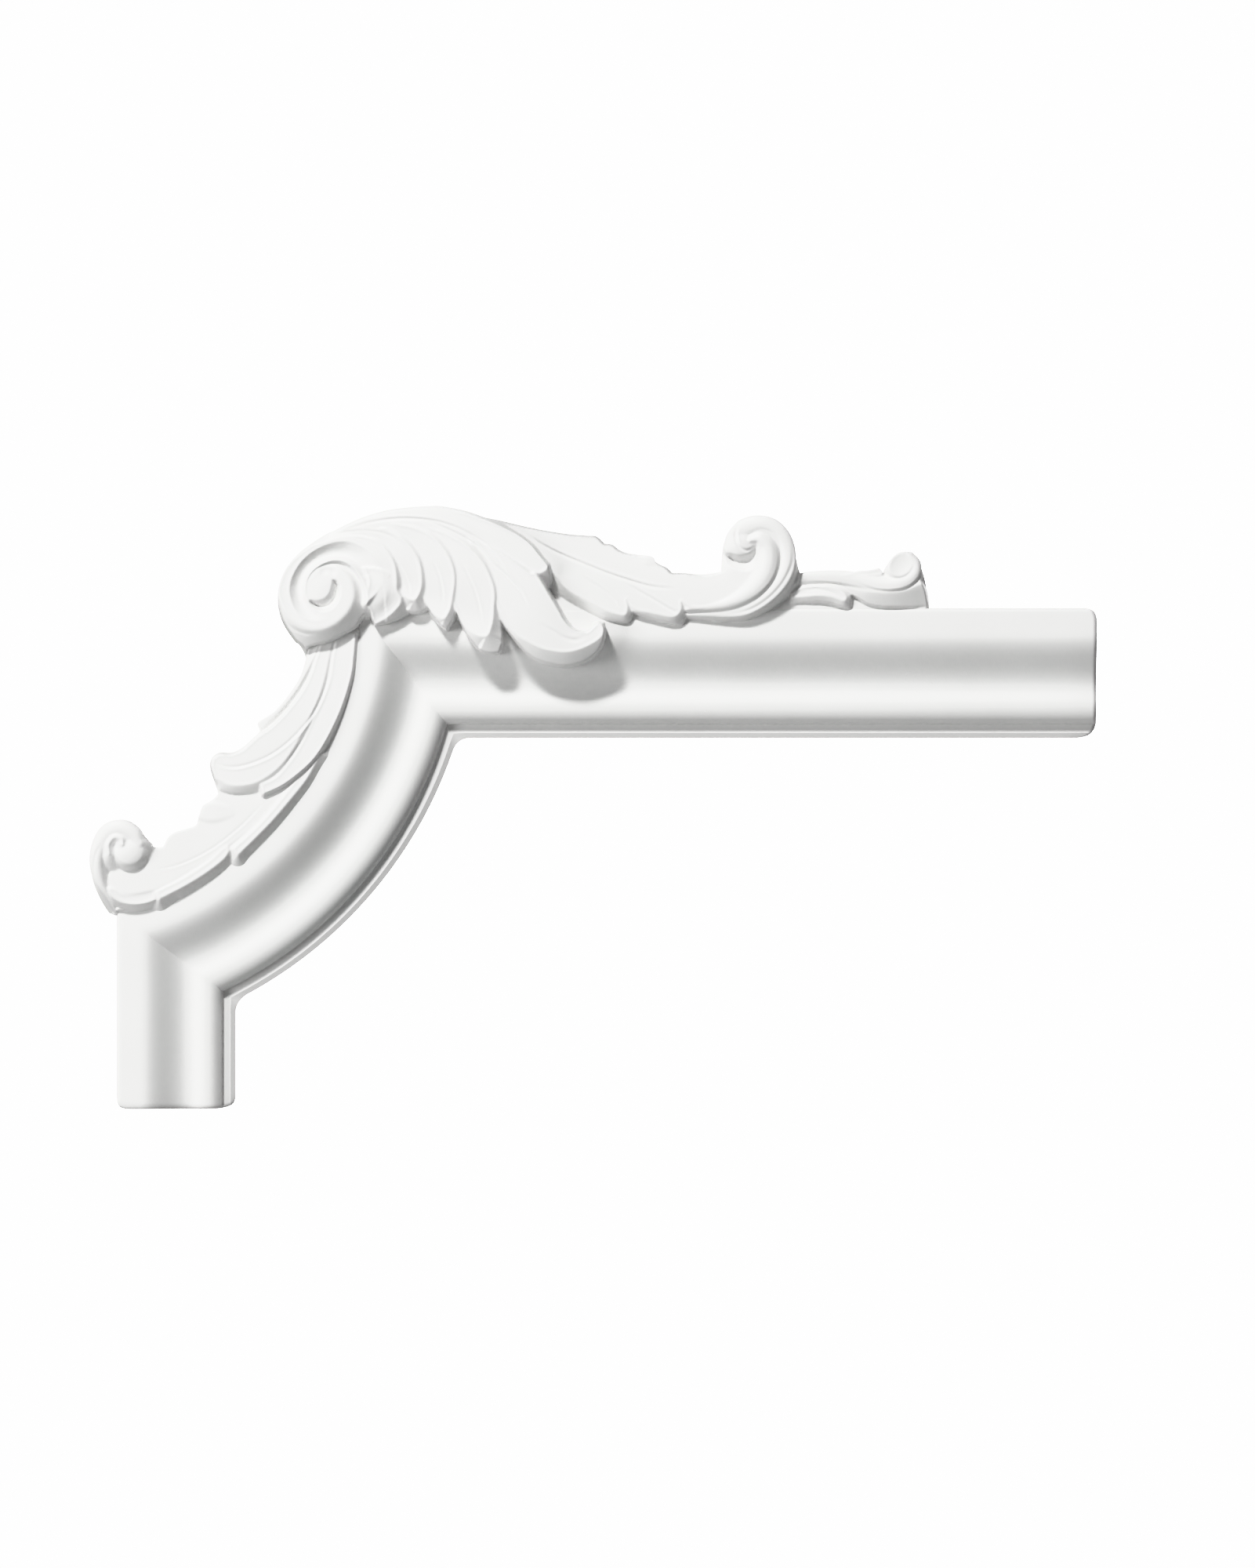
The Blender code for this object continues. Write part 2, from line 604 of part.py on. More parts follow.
def big_leaf(relief):
    """The acanthus leaf that fans out from the volute."""
    relief.lobe(
        [
            [(-52, 45), (-46, 59), (-36, 65.6), (-21.5, 72.6), (-7.2, 76.6), (10.8, 78.2), (18, 77.8),
             (29, 75.4),
             (40, 71), (50, 65.2), (57, 59.8), (63.6, 50)],
            [(63.6, 50), (56, 43), (48, 34), (40, 32), (24, 31), (0, 33), (-12, 36)],
            [(-12, 36), (-10, 44), (-13, 53), (-18, 58.6), (-25, 62), (-33, 62.4), (-42, 59.4), (-52, 45)],
        ],
        [(-50, 48, 10), (-38, 60, 11.5), (-20, 69, 13), (0, 72.5, 14), (20, 70, 14), (38, 60, 13),
         (50, 50, 11.5)],
        slope=2.4,
        roll=3.0,
        camber=(0.03, 0.0085),
    )
    # Back lobe, whose tip hangs over the long leaf
    relief.lobe(
        [
            [(20, 76.8), (29, 75.2), (37, 72.2), (45, 68.3), (52, 63.8), (57.5, 58.8), (64.4, 49.4)],
            [(64.4, 49.4), (63, 48), (58.5, 47.8), (50, 49.5), (32, 64), (18, 70), (20, 76.8)],
        ],
        [(20, 73, 12.8), (38, 66, 13.2), (52, 57, 12.2), (63, 49, 10.4)],
        slope=2.6,
        roll=3.0,
        camber=(0.01, 0.0),
    )
    # Four narrow lobes that hang from the volute outwards
    relief.lobe(
        [
            [(-40, 60), (-30, 63.5), (-20, 63.5), (-13.5, 60.2), (-8.5, 54.8), (-4.8, 42), (-5.6, 37.8),
             (-2.2, 35.2)],
            [(-2.2, 35.2), (-5, 30.6), (-9.5, 26.6), (-15.3, 24.2)],
            [(-15.3, 24.2), (-16.5, 28), (-19, 32), (-12.5, 39.5), (-12, 46), (-18.5, 57), (-30, 61.8),
             (-40, 60)],
        ],
        [(-36, 62, 11.6), (-24, 62, 12.5), (-13, 56, 12.8), (-8.6, 47, 12.2), (-9.4, 38, 10), (-12, 29, 6)],
        slope=2.4,
        roll=1.8,
    )
    relief.lobe(
        [
            [(-26, 66.4), (-15, 66.2), (-5.5, 63.2), (1.5, 57.6), (5.4, 50.8), (6.8, 44), (5.8, 38),
             (3.6, 34.6)],
            [(3.6, 34.6), (0.6, 35.2), (-1.9, 37.2)],
            [(-1.9, 37.2), (-2.1, 45), (-4, 53), (-8.2, 59.4), (-15.5, 63.8), (-26, 66.4)],
        ],
        [(-22, 65.6, 12.2), (-8, 61.6, 13.4), (0, 54, 13.2), (2.6, 46, 12.2), (2.4, 37, 10)],
        slope=2.4,
    )
    relief.lobe(
        [
            [(-14, 69), (-2, 68.8), (8, 66), (15, 61), (19.8, 54.8), (22.4, 48), (23.2, 42),
             (19.4, 29.8), (15.8, 26.3)],
            [(15.8, 26.3), (12, 28.2), (9.8, 31.4)],
            [(9.8, 31.4), (10.9, 38), (10.8, 44.8), (8.9, 53.2), (4.8, 60.4), (-2, 65.6), (-14, 69)],
        ],
        [(-12, 68.3, 12.8), (4, 65.4, 14), (13, 57, 14), (17, 46, 12.8), (15.6, 28, 9.4)],
        slope=2.4,
        roll=2.2,
    )
    relief.lobe(
        [
            [(14, 66), (24, 62), (32, 55), (37.5, 47), (40.2, 40), (40.7, 33.6), (39, 22.5), (37.6, 18.6)],
            [(37.6, 18.6), (35.4, 17.9), (32.3, 19), (28, 22), (22.3, 29.8)],
            [(22.3, 29.8), (24.6, 36), (25.3, 42), (24.6, 49), (21.6, 56), (14, 66)],
        ],
        [(14, 65, 13), (25, 57, 14.2), (31.5, 46, 13.4), (33.6, 34, 11.6), (35.4, 21, 9.6)],
        slope=2.2,
        roll=2.6,
    )
    # Long tip that curls up at its end
    relief.lobe(
        [
            [(28, 64), (40, 58.5), (50, 52), (56.5, 47.4), (64.3, 38.4), (70.2, 29.2), (73, 25),
             (76.6, 21.6),
             (80.4, 20.2), (84, 20.6), (89.4, 24)],
            [(89.4, 24), (89.3, 21.4), (86.8, 17.2), (82.6, 13.8), (76.6, 11.4), (70, 10.7), (63, 11.4),
             (56.6, 13.4),
             (51, 16.4), (47.4, 20), (40.8, 33.8)],
            [(40.8, 33.8), (38, 42), (33, 52), (28, 64)],
        ],
        [(30, 62, 13.8), (43, 52, 14.4), (53, 40, 14.2), (60, 27, 13.2), (69, 17.5, 11.8),
         (80, 16, 10.8), (88, 21, 10.4)],
        slope=2.6,
        roll=3.0,
        camber=(0.006, 0.006),
    )
    relief.groove([(-18, 70.8), (-4, 71.2), (10, 70.4), (28, 64), (35, 58.5), (46.5, 45.5),
                   (55.5, 33.5)], 0.9, 1.0)


def step_between(start, end, steps):
    """Half a wave from a crest to a trough or back, without its first point."""
    share = np.arange(1, steps + 1) / steps
    lift = 0.5 - 0.5 * np.cos(math.pi * share)
    return list(zip(start[0] + (end[0] - start[0]) * share, start[1] + (end[1] - start[1]) * lift))


def quarter_round(start, end, steps, upright_first):
    """A quarter of an ellipse that leaves upright and arrives level, or the other way round."""
    angle = 0.5 * math.pi * np.arange(1, steps + 1) / steps
    first, second = 1 - np.cos(angle), np.sin(angle)
    across, up = (first, second) if upright_first else (second, first)
    return list(zip(start[0] + (end[0] - start[0]) * across, start[1] + (end[1] - start[1]) * up))


def profile():
    """The moulding's section, as places from its inner edge and heights above the back."""
    points = [(0.0, MOULDING_BASE), (0.0, FILLET_HEIGHT - INNER_EDGE_RADIUS)]
    points += quarter_round(points[-1], (INNER_EDGE_RADIUS, FILLET_HEIGHT), INNER_EDGE_STEPS, True)
    points += [(FILLET_WIDTH, FILLET_HEIGHT)]
    points += quarter_round(points[-1], (BEAD_PLACE, BEAD_HEIGHT), BEAD_STEPS, True)
    points += step_between(points[-1], (COVE_PLACE, COVE_HEIGHT), COVE_STEPS)
    points += step_between(points[-1], (CREST_PLACE, PROJECTION), CREST_STEPS)
    points += [(LONG_ARM_WIDTH - OUTER_EDGE_RADIUS, PROJECTION)]
    outer_edge = (LONG_ARM_WIDTH, PROJECTION - OUTER_EDGE_RADIUS)
    points += quarter_round(points[-1], outer_edge, OUTER_EDGE_STEPS, False)
    points += [(LONG_ARM_WIDTH, MOULDING_BASE)]
    return points


def arc_point(radius, angle):
    return ARC_CENTRE[0] + radius * np.cos(angle), ARC_CENTRE[1] + radius * np.sin(angle)


def upper_mitre():
    """The radius and angle, about the arc's centre, of both ends of the mitre at the long arm."""
    radii = np.array([ARC_RADIUS, ARC_RADIUS - ARC_WIDTH_UPPER])
    z = np.array([LONG_ARM_OUTER_Z - LONG_ARM_WIDTH, LONG_ARM_OUTER_Z])
    return radii, np.arcsin((z - ARC_CENTRE[1]) / radii)


def lower_mitre():
    """The same of the mitre at the short arm."""
    radii = np.array([ARC_RADIUS, ARC_RADIUS - ARC_WIDTH_LOWER])
    x = np.array([SHORT_ARM_OUTER_X + SHORT_ARM_WIDTH, SHORT_ARM_OUTER_X])
    return radii, -np.arccos((x - ARC_CENTRE[0]) / radii)


def mitre_line(mitre, share):
    """Places along a mitre, which is straight, as radii and angles. Share 0 is its inner end."""
    (x0, x1), (z0, z1) = arc_point(*mitre)
    x = x0 + (x1 - x0) * share - ARC_CENTRE[0]
    z = z0 + (z1 - z0) * share - ARC_CENTRE[1]
    return np.hypot(x, z), np.arctan2(z, x)


def end_insets():
    """The rounding of a square end: steps of distance from the end and inset there, from the end inwards."""
    angle = np.linspace(0, 0.5 * math.pi, END_STEPS + 1)
    return list(zip(END_ROUNDING * (1 - np.cos(angle)), END_ROUNDING * (1 - np.sin(angle))))


def inset_profile(inset):
    """The profile drawn in by an inset on its face and both its sides."""
    place, height = np.array(profile()).T
    return np.clip(place, inset, LONG_ARM_WIDTH - inset), np.where(height > 0, height - inset, height)


def sections():
    """Sections of the moulding from the long arm's end to the short one's: x, z and height of each point."""
    slim = SHORT_ARM_WIDTH / LONG_ARM_WIDTH
    found = []
    for distance, inset in end_insets():
        place, height = inset_profile(inset)
        z = LONG_ARM_OUTER_Z - LONG_ARM_WIDTH + place
        found.append((np.full_like(z, LONG_ARM_END_X - distance), z, height))
    place, height = inset_profile(0)
    upper_radius, upper_angle = mitre_line(upper_mitre(), place / LONG_ARM_WIDTH)
    lower_radius, lower_angle = mitre_line(lower_mitre(), place / LONG_ARM_WIDTH)
    for part in np.linspace(0, 1, ARC_STEPS + 1):
        radius = upper_radius + (lower_radius - upper_radius) * part
        turn = upper_angle + (lower_angle - upper_angle) * part
        scale = np.where(height > 0, 1 + (slim - 1) * part, 1)
        found.append((*arc_point(radius, turn), height * scale))
    for distance, inset in reversed(end_insets()):
        place, height = inset_profile(inset / slim)
        x = SHORT_ARM_OUTER_X + SHORT_ARM_WIDTH - place * slim
        scale = np.where(height > 0, slim, 1)
        found.append((x, np.full_like(x, SHORT_ARM_END_Z + distance), height * scale))
    return found


def moulding_plan(margin):
    """The moulding's outline from the front, drawn in by a margin at both long edges."""
    outer = [(x[-1], z[-1]) for x, z, _ in sections()]
    inner = [(x[0], z[0]) for x, z, _ in sections()]
    outline = np.array(outer + inner[::-1])
    across = np.array(inner + outer[::-1]) - outline
    return outline + across * (margin / np.hypot(*across.T))[:, None]


def mesh_object(name, vertices, faces):
    mesh = bpy.data.meshes.new(name)
    mesh.from_pydata([(x * MM, -height * MM, z * MM) for x, z, height in vertices], [], faces)
    item = bpy.data.objects.new(name, mesh)
    bpy.context.scene.collection.objects.link(item)
    return item


def moulding():
    """The plain moulding: its section carried round the corner, with both ends closed."""
    rings = sections()
    count = len(rings[0][0])
    vertices = [point for ring in rings for point in zip(*ring)]
    last = len(vertices) - count
    faces = [list(range(count))[::-1], list(range(last, last + count))]
    for first in range(0, last, count):
        for i in range(count):
            j = (i + 1) % count
            faces.append((first + i, first + j, first + count + j, first + count + i))
    return mesh_object("moulding", vertices, faces)


class CellOutline:
    """The cells of a grid where a level is above zero, with those at its edge cut along the zero line."""

    NEAREST_CUT = 0.08

    def __init__(self, relief, level):
        self.level = level
        self.values = (*np.meshgrid(relief.x, relief.z), relief.height)
        self.vertices = []
        self.index = {}
        self.faces = []
        rows = np.maximum(level[:-1], level[1:])
        for j, i in zip(*np.nonzero(np.maximum(rows[:, :-1], rows[:, 1:]) > 0)):
            self.add_cell([(j, i), (j, i + 1), (j + 1, i + 1), (j + 1, i)])

    def add_cell(self, corners):
        face = []
        for here, there in zip(corners, corners[1:] + corners[:1]):
            if self.level[here] > 0:
                face.append(self.vertex(here, here))
            if (self.level[here] > 0) != (self.level[there] > 0):
                face.append(self.vertex(*sorted((here, there))))
        self.faces.append(face)

    def vertex(self, here, there):
        """The number of the vertex at a corner, or where the zero line crosses between two corners."""
        if (here, there) not in self.index:
            share = 0.0
            if here != there:
                share = self.level[here] / (self.level[here] - self.level[there])
                share = min(max(share, self.NEAREST_CUT), 1 - self.NEAREST_CUT)
            self.index[here, there] = len(self.vertices)
            self.vertices.append([grid[here] + (grid[there] - grid[here]) * share for grid in self.values])
        return self.index[here, there]

    def solid(self):
        """Vertices and faces of the cells, of their copies at the base, and of the walls between."""
        count = len(self.vertices)
        base = [(x, z, CARVING_BASE) for x, z, _ in self.vertices]
        edges = {(a, b) for face in self.faces for a, b in zip(face, face[1:] + face[:1])}
        walls = [(b, a, a + count, b + count) for a, b in sorted(edges) if (b, a) not in edges]
        below = [[i + count for i in reversed(face)] for face in self.faces]
        return self.vertices + base, self.faces + below + walls


def carving():
    """The carving as a closed solid, whose walls stand upright along its outline."""
    relief = Relief(CARVING_X, CARVING_Z, CARVING_CELL)
    for element in (ground, lower_leaf, lower_scroll, long_leaf, sprig, right_scroll, volute, big_leaf):
        element(relief)
    x, z = np.meshgrid(relief.x, relief.z)
    covered = smooth_max(relief.footprint, inward_distance(x, z, moulding_plan(HIDDEN_MARGIN)), OUTLINE_BLEND)
    level = np.minimum(covered, relief.height - CARVING_FLOOR - HIDDEN_MARGIN)
    return mesh_object("carving", *CellOutline(relief, level).solid())


def thin_out(item, faces_kept):
    """Leaves about so many triangles on an object."""
    triangles = sum(len(face.vertices) - 2 for face in item.data.polygons)
    decimate = item.modifiers.new("fewer faces", "DECIMATE")
    decimate.ratio = faces_kept / triangles


def join(item, other):
    union = item.modifiers.new("carving", "BOOLEAN")
    union.operation = "UNION"
    union.solver = "EXACT"
    union.object = other


def cut_back(item):
    """The mesh of an object with its modifiers, cut off flat at the back."""
    shape = bmesh.new()
    shape.from_mesh(item.evaluated_get(bpy.context.evaluated_depsgraph_get()).to_mesh())
    everything = shape.verts[:] + shape.edges[:] + shape.faces[:]
    cut = bmesh.ops.bisect_plane(shape, geom=everything, plane_no=(0, 1, 0), clear_outer=True)
    rim = [part for part in cut["geom_cut"] if isinstance(part, bmesh.types.BMEdge)]
    for edge in rim:
        for vertex in edge.verts:
            vertex.co.y = 0.0
    bmesh.ops.holes_fill(shape, edges=rim, sides=0)
    bmesh.ops.remove_doubles(shape, verts=shape.verts, dist=WELD * MM)
    bmesh.ops.triangulate(shape, faces=shape.faces)
    bmesh.ops.recalc_face_normals(shape, faces=shape.faces)
    mesh = bpy.data.meshes.new(item.name)
    shape.to_mesh(mesh)
    shape.free()
    return mesh


def white_finish():
    """Satin white of a cast and primed moulding."""
    material = bpy.data.materials.new("satin white")
    material.use_nodes = True
    shader = material.node_tree.nodes["Principled BSDF"]
    shader.inputs["Base Color"].default_value = (0.86, 0.86, 0.85, 1.0)
    shader.inputs["Roughness"].default_value = 0.35
    shader.inputs["Metallic"].default_value = 0.0
    return material


def main():
    for item in list(bpy.data.objects):
        bpy.data.objects.remove(item)
    plain = moulding()
    carved = carving()
    thin_out(carved, CARVING_FACES)
    join(plain, carved)
    casting = bpy.data.objects.new("corner_moulding", cut_back(plain))
    bpy.context.scene.collection.objects.link(casting)
    for helper in (plain, carved):
        bpy.data.objects.remove(helper)
    casting.data.materials.append(white_finish())
    casting.data.shade_smooth()
    casting.data.set_sharp_from_angle(angle=SHARP_ANGLE)


main()
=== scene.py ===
"""Moulding corner piece, dressed: the plain moulding and its carving, cast as one and primed satin white.

X runs along the long arm, Z runs up and the relief stands out towards -Y from the flat back in Y = 0.
Sizes are written in millimetres, and become metres where a mesh is made.
"""
import math

import bmesh
import bpy
import numpy as np
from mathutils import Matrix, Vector


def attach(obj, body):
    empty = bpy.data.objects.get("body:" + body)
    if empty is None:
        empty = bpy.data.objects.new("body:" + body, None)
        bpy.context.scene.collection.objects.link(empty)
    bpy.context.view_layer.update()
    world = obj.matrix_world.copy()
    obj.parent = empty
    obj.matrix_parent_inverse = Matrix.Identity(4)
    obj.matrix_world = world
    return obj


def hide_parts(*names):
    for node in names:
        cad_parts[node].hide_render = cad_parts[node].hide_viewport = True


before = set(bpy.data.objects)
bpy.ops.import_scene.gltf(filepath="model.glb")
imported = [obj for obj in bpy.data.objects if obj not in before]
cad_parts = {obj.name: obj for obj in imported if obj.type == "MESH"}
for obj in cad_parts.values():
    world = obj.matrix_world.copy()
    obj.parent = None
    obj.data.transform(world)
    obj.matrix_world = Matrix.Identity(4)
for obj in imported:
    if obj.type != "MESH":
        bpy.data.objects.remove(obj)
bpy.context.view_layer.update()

MM = 0.001

# The casting's node and body in the frame
NODE = "corner_moulding"
BODY = "root"

# Long arm, short arm and the scooped arc between them, as in the solid
LONG_ARM_WIDTH = 60.0
LONG_ARM_OUTER_Z = 31.3
LONG_ARM_END_X = 318.0
SHORT_ARM_WIDTH = 54.4
SHORT_ARM_OUTER_X = -134.3
SHORT_ARM_END_Z = -200.0
ARC_CENTRE = (-170.9, 30.7)
ARC_RADIUS = 202.4
ARC_WIDTH_UPPER = 54.0
ARC_WIDTH_LOWER = 58.4

# Section of the long arm, with places measured from the edge on the frame's side
PROJECTION = 28.0
FILLET_WIDTH = 6.3
FILLET_HEIGHT = 7.8
BEAD_PLACE = 15.4
BEAD_HEIGHT = 16.4
COVE_PLACE = 22.6
COVE_HEIGHT = 14.9
CREST_PLACE = 48.0
INNER_CHAMFER = (2.4, 1.5)
OUTER_EDGE_RADIUS = 1.8

# Rounding of the face's edge at both ends, and the flat strip left inside it
END_ROUNDING = 2.0
END_MARGIN = 0.4

# Rounding of the inner edge at both mitres: how far it reaches to either side along the edge, the share
# of the moulding's width over which it fades, and the angle that the arc turns between the two
CORNER_SPAN = 6.6
CORNER_FADE = 0.05
ARC_TURN = 0.806

# Rounding of the corners of both ends seen from the front, at the inner and the outer edge: the length
# along the arm and the width across it
LONG_END_CORNERS = ((8.0, 7.0), (4.0, 6.0))
SHORT_END_CORNERS = ((4.0, 10.0), (2.5, 7.0))

# Pieces that each stretch of the section and each end is made of, and rows of points along the moulding
CHAMFER_STEPS = 3
FILLET_STEPS = 2
BEAD_STEPS = 14
COVE_STEPS = 8
SLOPE_STEPS = 22
CREST_STEPS = 6
EDGE_STEPS = 6
SIDE_STEPS = 2
BACK_STEPS = 3
END_STEPS = 8
LONG_ARM_ROWS = 24
CORNER_ROWS = 13
ARC_ROWS = 66
SHORT_ARM_ROWS = 10

# Spacing of the carving's points, and the boxes that its two parts lie in
CARVING_CELL = 0.42
UPPER_BOX = ((-66.0, 246.0), (-4.0, 84.0))
LOWER_BOX = ((-152.0, -14.0), (-122.0, 34.0))
CARVING_FLOOR = -1.0

# Depths of the carving: the back of each part, how far it goes under the moulding's face, how far inside
# its outline the moulding counts as, how softly the two meet, the height that stands for the wall beside
# the moulding, and the least that the carving stands out
UPPER_BACK = 0.3
LOWER_BACK = 0.6
HIDDEN_DEPTH = 1.2
MOULDING_INSET = 2.0
MEETING = 1.0
BARE_WALL = -9.0
LEAST_RISE = 0.01
LEAST_DEPTH = 0.8

# Points of a curve for each point given, and the rows on either side over which a value changes from
# one edge of an outline to the next
CURVE_STEPS = 8
EDGE_CHANGE = 5

# Softness of a height that comes from a line of heights, near the line and further off
NEAR_BLEND = 3.0
FAR_BLEND = 0.3

# Meshes: sharp angles, the gap at which vertices are joined, in metres, and what counts as the back
MOULDING_SHARP = math.radians(20)
CARVING_SHARP = math.radians(50)
WELD = 0.00001
BACK_FACING = 0.9

# Skin of the casting: waves for each metre, the ranges of the noise that count and heights in metres
CLOUD_SCALE = 30.0
HOLE_SCALE = 160.0
HOLE_PATCH_SCALE = 45.0
HOLE_RANGE = (0.03, 0.09)
HOLE_PATCH_RANGE = (0.56, 0.6)
GRAIN_RELIEF = 0.25
CLOUD_RANGE = (0.35, 0.65)
GRAIN_RANGE = (0.3, 0.7)
ROUGHNESS_DRIFT = 0.04
BUMP_DISTANCE = 0.0003

# Finishes: name, light and dark colour, roughness, bump, pinholes and grain in waves for each metre
FRONT_FINISH = ("satin white primer", (0.81, 0.81, 0.802), (0.79, 0.79, 0.781), 0.45, 0.25, 0.5, 1400.0)
BACK_FINISH = ("bare cast back", (0.80, 0.78, 0.73), (0.74, 0.72, 0.66), 0.62, 0.6, 1.0, 700.0)

# Studio, in metres: the floor, the lamps' target, and the surroundings in front of and behind the piece
FLOOR_RADIUS = 0.9
FLOOR_HEIGHT = -1.2
FLOOR_SIDES = 96
FLOOR_COLOUR = (0.7, 0.7, 0.7, 1)
FLOOR_ROUGHNESS = 0.7
LAMP_TARGET = (0.09, 0, -0.05)
AMBIENT = 0.10
BACKDROP = 8.0

# Lamps: direction from the piece, distance, size and watts
LAMPS = (
    ("key lamp", (-0.42, -0.95, 0.92), 2.6, 0.35, 77.0),
    ("left lamp", (-1.0, -0.75, 0.0), 2.6, 1.0, 34.0),
    ("front lamp", (0.4, -1.0, -0.4), 2.6, 1.6, 5.0),
    ("left back lamp", (-1.0, 1.2, 0.8), 2.6, 1.2, 30.0),
    ("right back lamp", (1.0, 0.9, 0.2), 2.6, 1.2, 30.0),
)

# Camera: straight in front, with the photograph's field of view where the moulding's crest is
CAMERA_PLACE = (0.1014, -7.5, -0.0499)
CREST_Y = -0.028
FRAME_HEIGHT = 0.7229
SENSOR_WIDTH = 36.0


def add_object(name, data):
    item = bpy.data.objects.new(name, data)
    bpy.context.scene.collection.objects.link(item)
    return item


def feed(tree, socket, value):
    """Joins a socket to another one, or gives it a value."""
    if isinstance(value, bpy.types.NodeSocket):
        tree.links.new(value, socket)
    else:
        socket.default_value = value


def smooth_curve(points):
    """A smooth open curve through every point, whose rows may hold more than a place."""
    p = np.array(points, float)
    if len(p) < 3:
        return p
    p = np.vstack([2 * p[0] - p[1], p, 2 * p[-1] - p[-2]])
    t = np.linspace(0, 1, CURVE_STEPS, endpoint=False)[:, None]
    rows = []
    for a, b, c, d in zip(p[:-3], p[1:-2], p[2:-1], p[3:]):
        linear = (c - a) * t
        square = (2 * a - 5 * b + 4 * c - d) * t**2
        cube = (3 * b - a - 3 * c + d) * t**3
        rows.append(0.5 * (2 * b + linear + square + cube))
    rows.append(p[-2][None])
    return np.vstack(rows)


def outline_curves(edges):
    """The curves of a closed outline. Each of its edges starts where the one before it ends."""
    starts = [edge[-1] for edge in edges[-1:] + edges[:-1]]
    return [smooth_curve([start, *edge])[:-1] for start, edge in zip(starts, edges)]


def smooth_max(a, b, softness):
    mix = np.clip(0.5 + 0.5 * (a - b) / softness, 0, 1)
    return b + (a - b) * mix + softness * mix * (1 - mix)


def nearest_on(x, z, line):
    """Of each point: its distance to a line, the same with a sign (left is positive), its place in rows."""
    best = np.full(x.shape, np.inf)
    side = np.zeros(x.shape)
    place = np.zeros(x.shape)
    for i, (a, b) in enumerate(zip(line[:-1], line[1:])):
        dx, dz = b[0] - a[0], b[1] - a[1]
        length_squared = dx * dx + dz * dz
        if length_squared == 0:
            continue
        share = np.clip(((x - a[0]) * dx + (z - a[1]) * dz) / length_squared, 0, 1)
        squared = (x - a[0] - share * dx) ** 2 + (z - a[1] - share * dz) ** 2
        closer = squared < best
        best = np.where(closer, squared, best)
        place = np.where(closer, i + share, place)
        side = np.where(closer, np.sign(dx * (z - a[1]) - dz * (x - a[0])), side)
    distance = np.sqrt(best)
    return distance, distance * side, place


def inward_distance(x, z, outline):
    """How far each point is inside a closed outline, negative outside, and the nearest place on it."""
    odd = np.zeros(x.shape, bool)
    for a, b in zip(outline, np.roll(outline, -1, axis=0)):
        if a[1] != b[1]:
            crosses = (a[1] > z) != (b[1] > z)
            odd ^= crosses & (x < (b[0] - a[0]) * (z - a[1]) / (b[1] - a[1]) + a[0])
    distance, _, place = nearest_on(x, z, np.vstack([outline, outline[:1]]))
    return np.where(odd, distance, -distance), place


def along_edges(value, counts, place):
    """A value at places on an outline, where each edge can have its own and they change over gradually."""
    if np.ndim(value) == 0:
        return np.full(place.shape, float(value))
    rows = np.repeat(np.array(value, float), counts)
    near = np.arange(-EDGE_CHANGE, EDGE_CHANGE + 1)
    rows = rows[(np.arange(len(rows))[:, None] + near) % len(rows)].mean(axis=1)
    return np.interp(place, np.arange(len(rows) + 1), np.append(rows, rows[0]))


def blended_height(x, z, line):
    """A height for every point from the heights along a line, with the near ones counting most."""
    squared = (x[..., None] - line[:, 0]) ** 2 + (z[..., None] - line[:, 1]) ** 2
    nearest = squared.min(axis=-1, keepdims=True)
    weight = np.exp((nearest - squared) / (2 * NEAR_BLEND**2 + FAR_BLEND * nearest))
    return (weight * line[:, 2]).sum(axis=-1) / weight.sum(axis=-1)


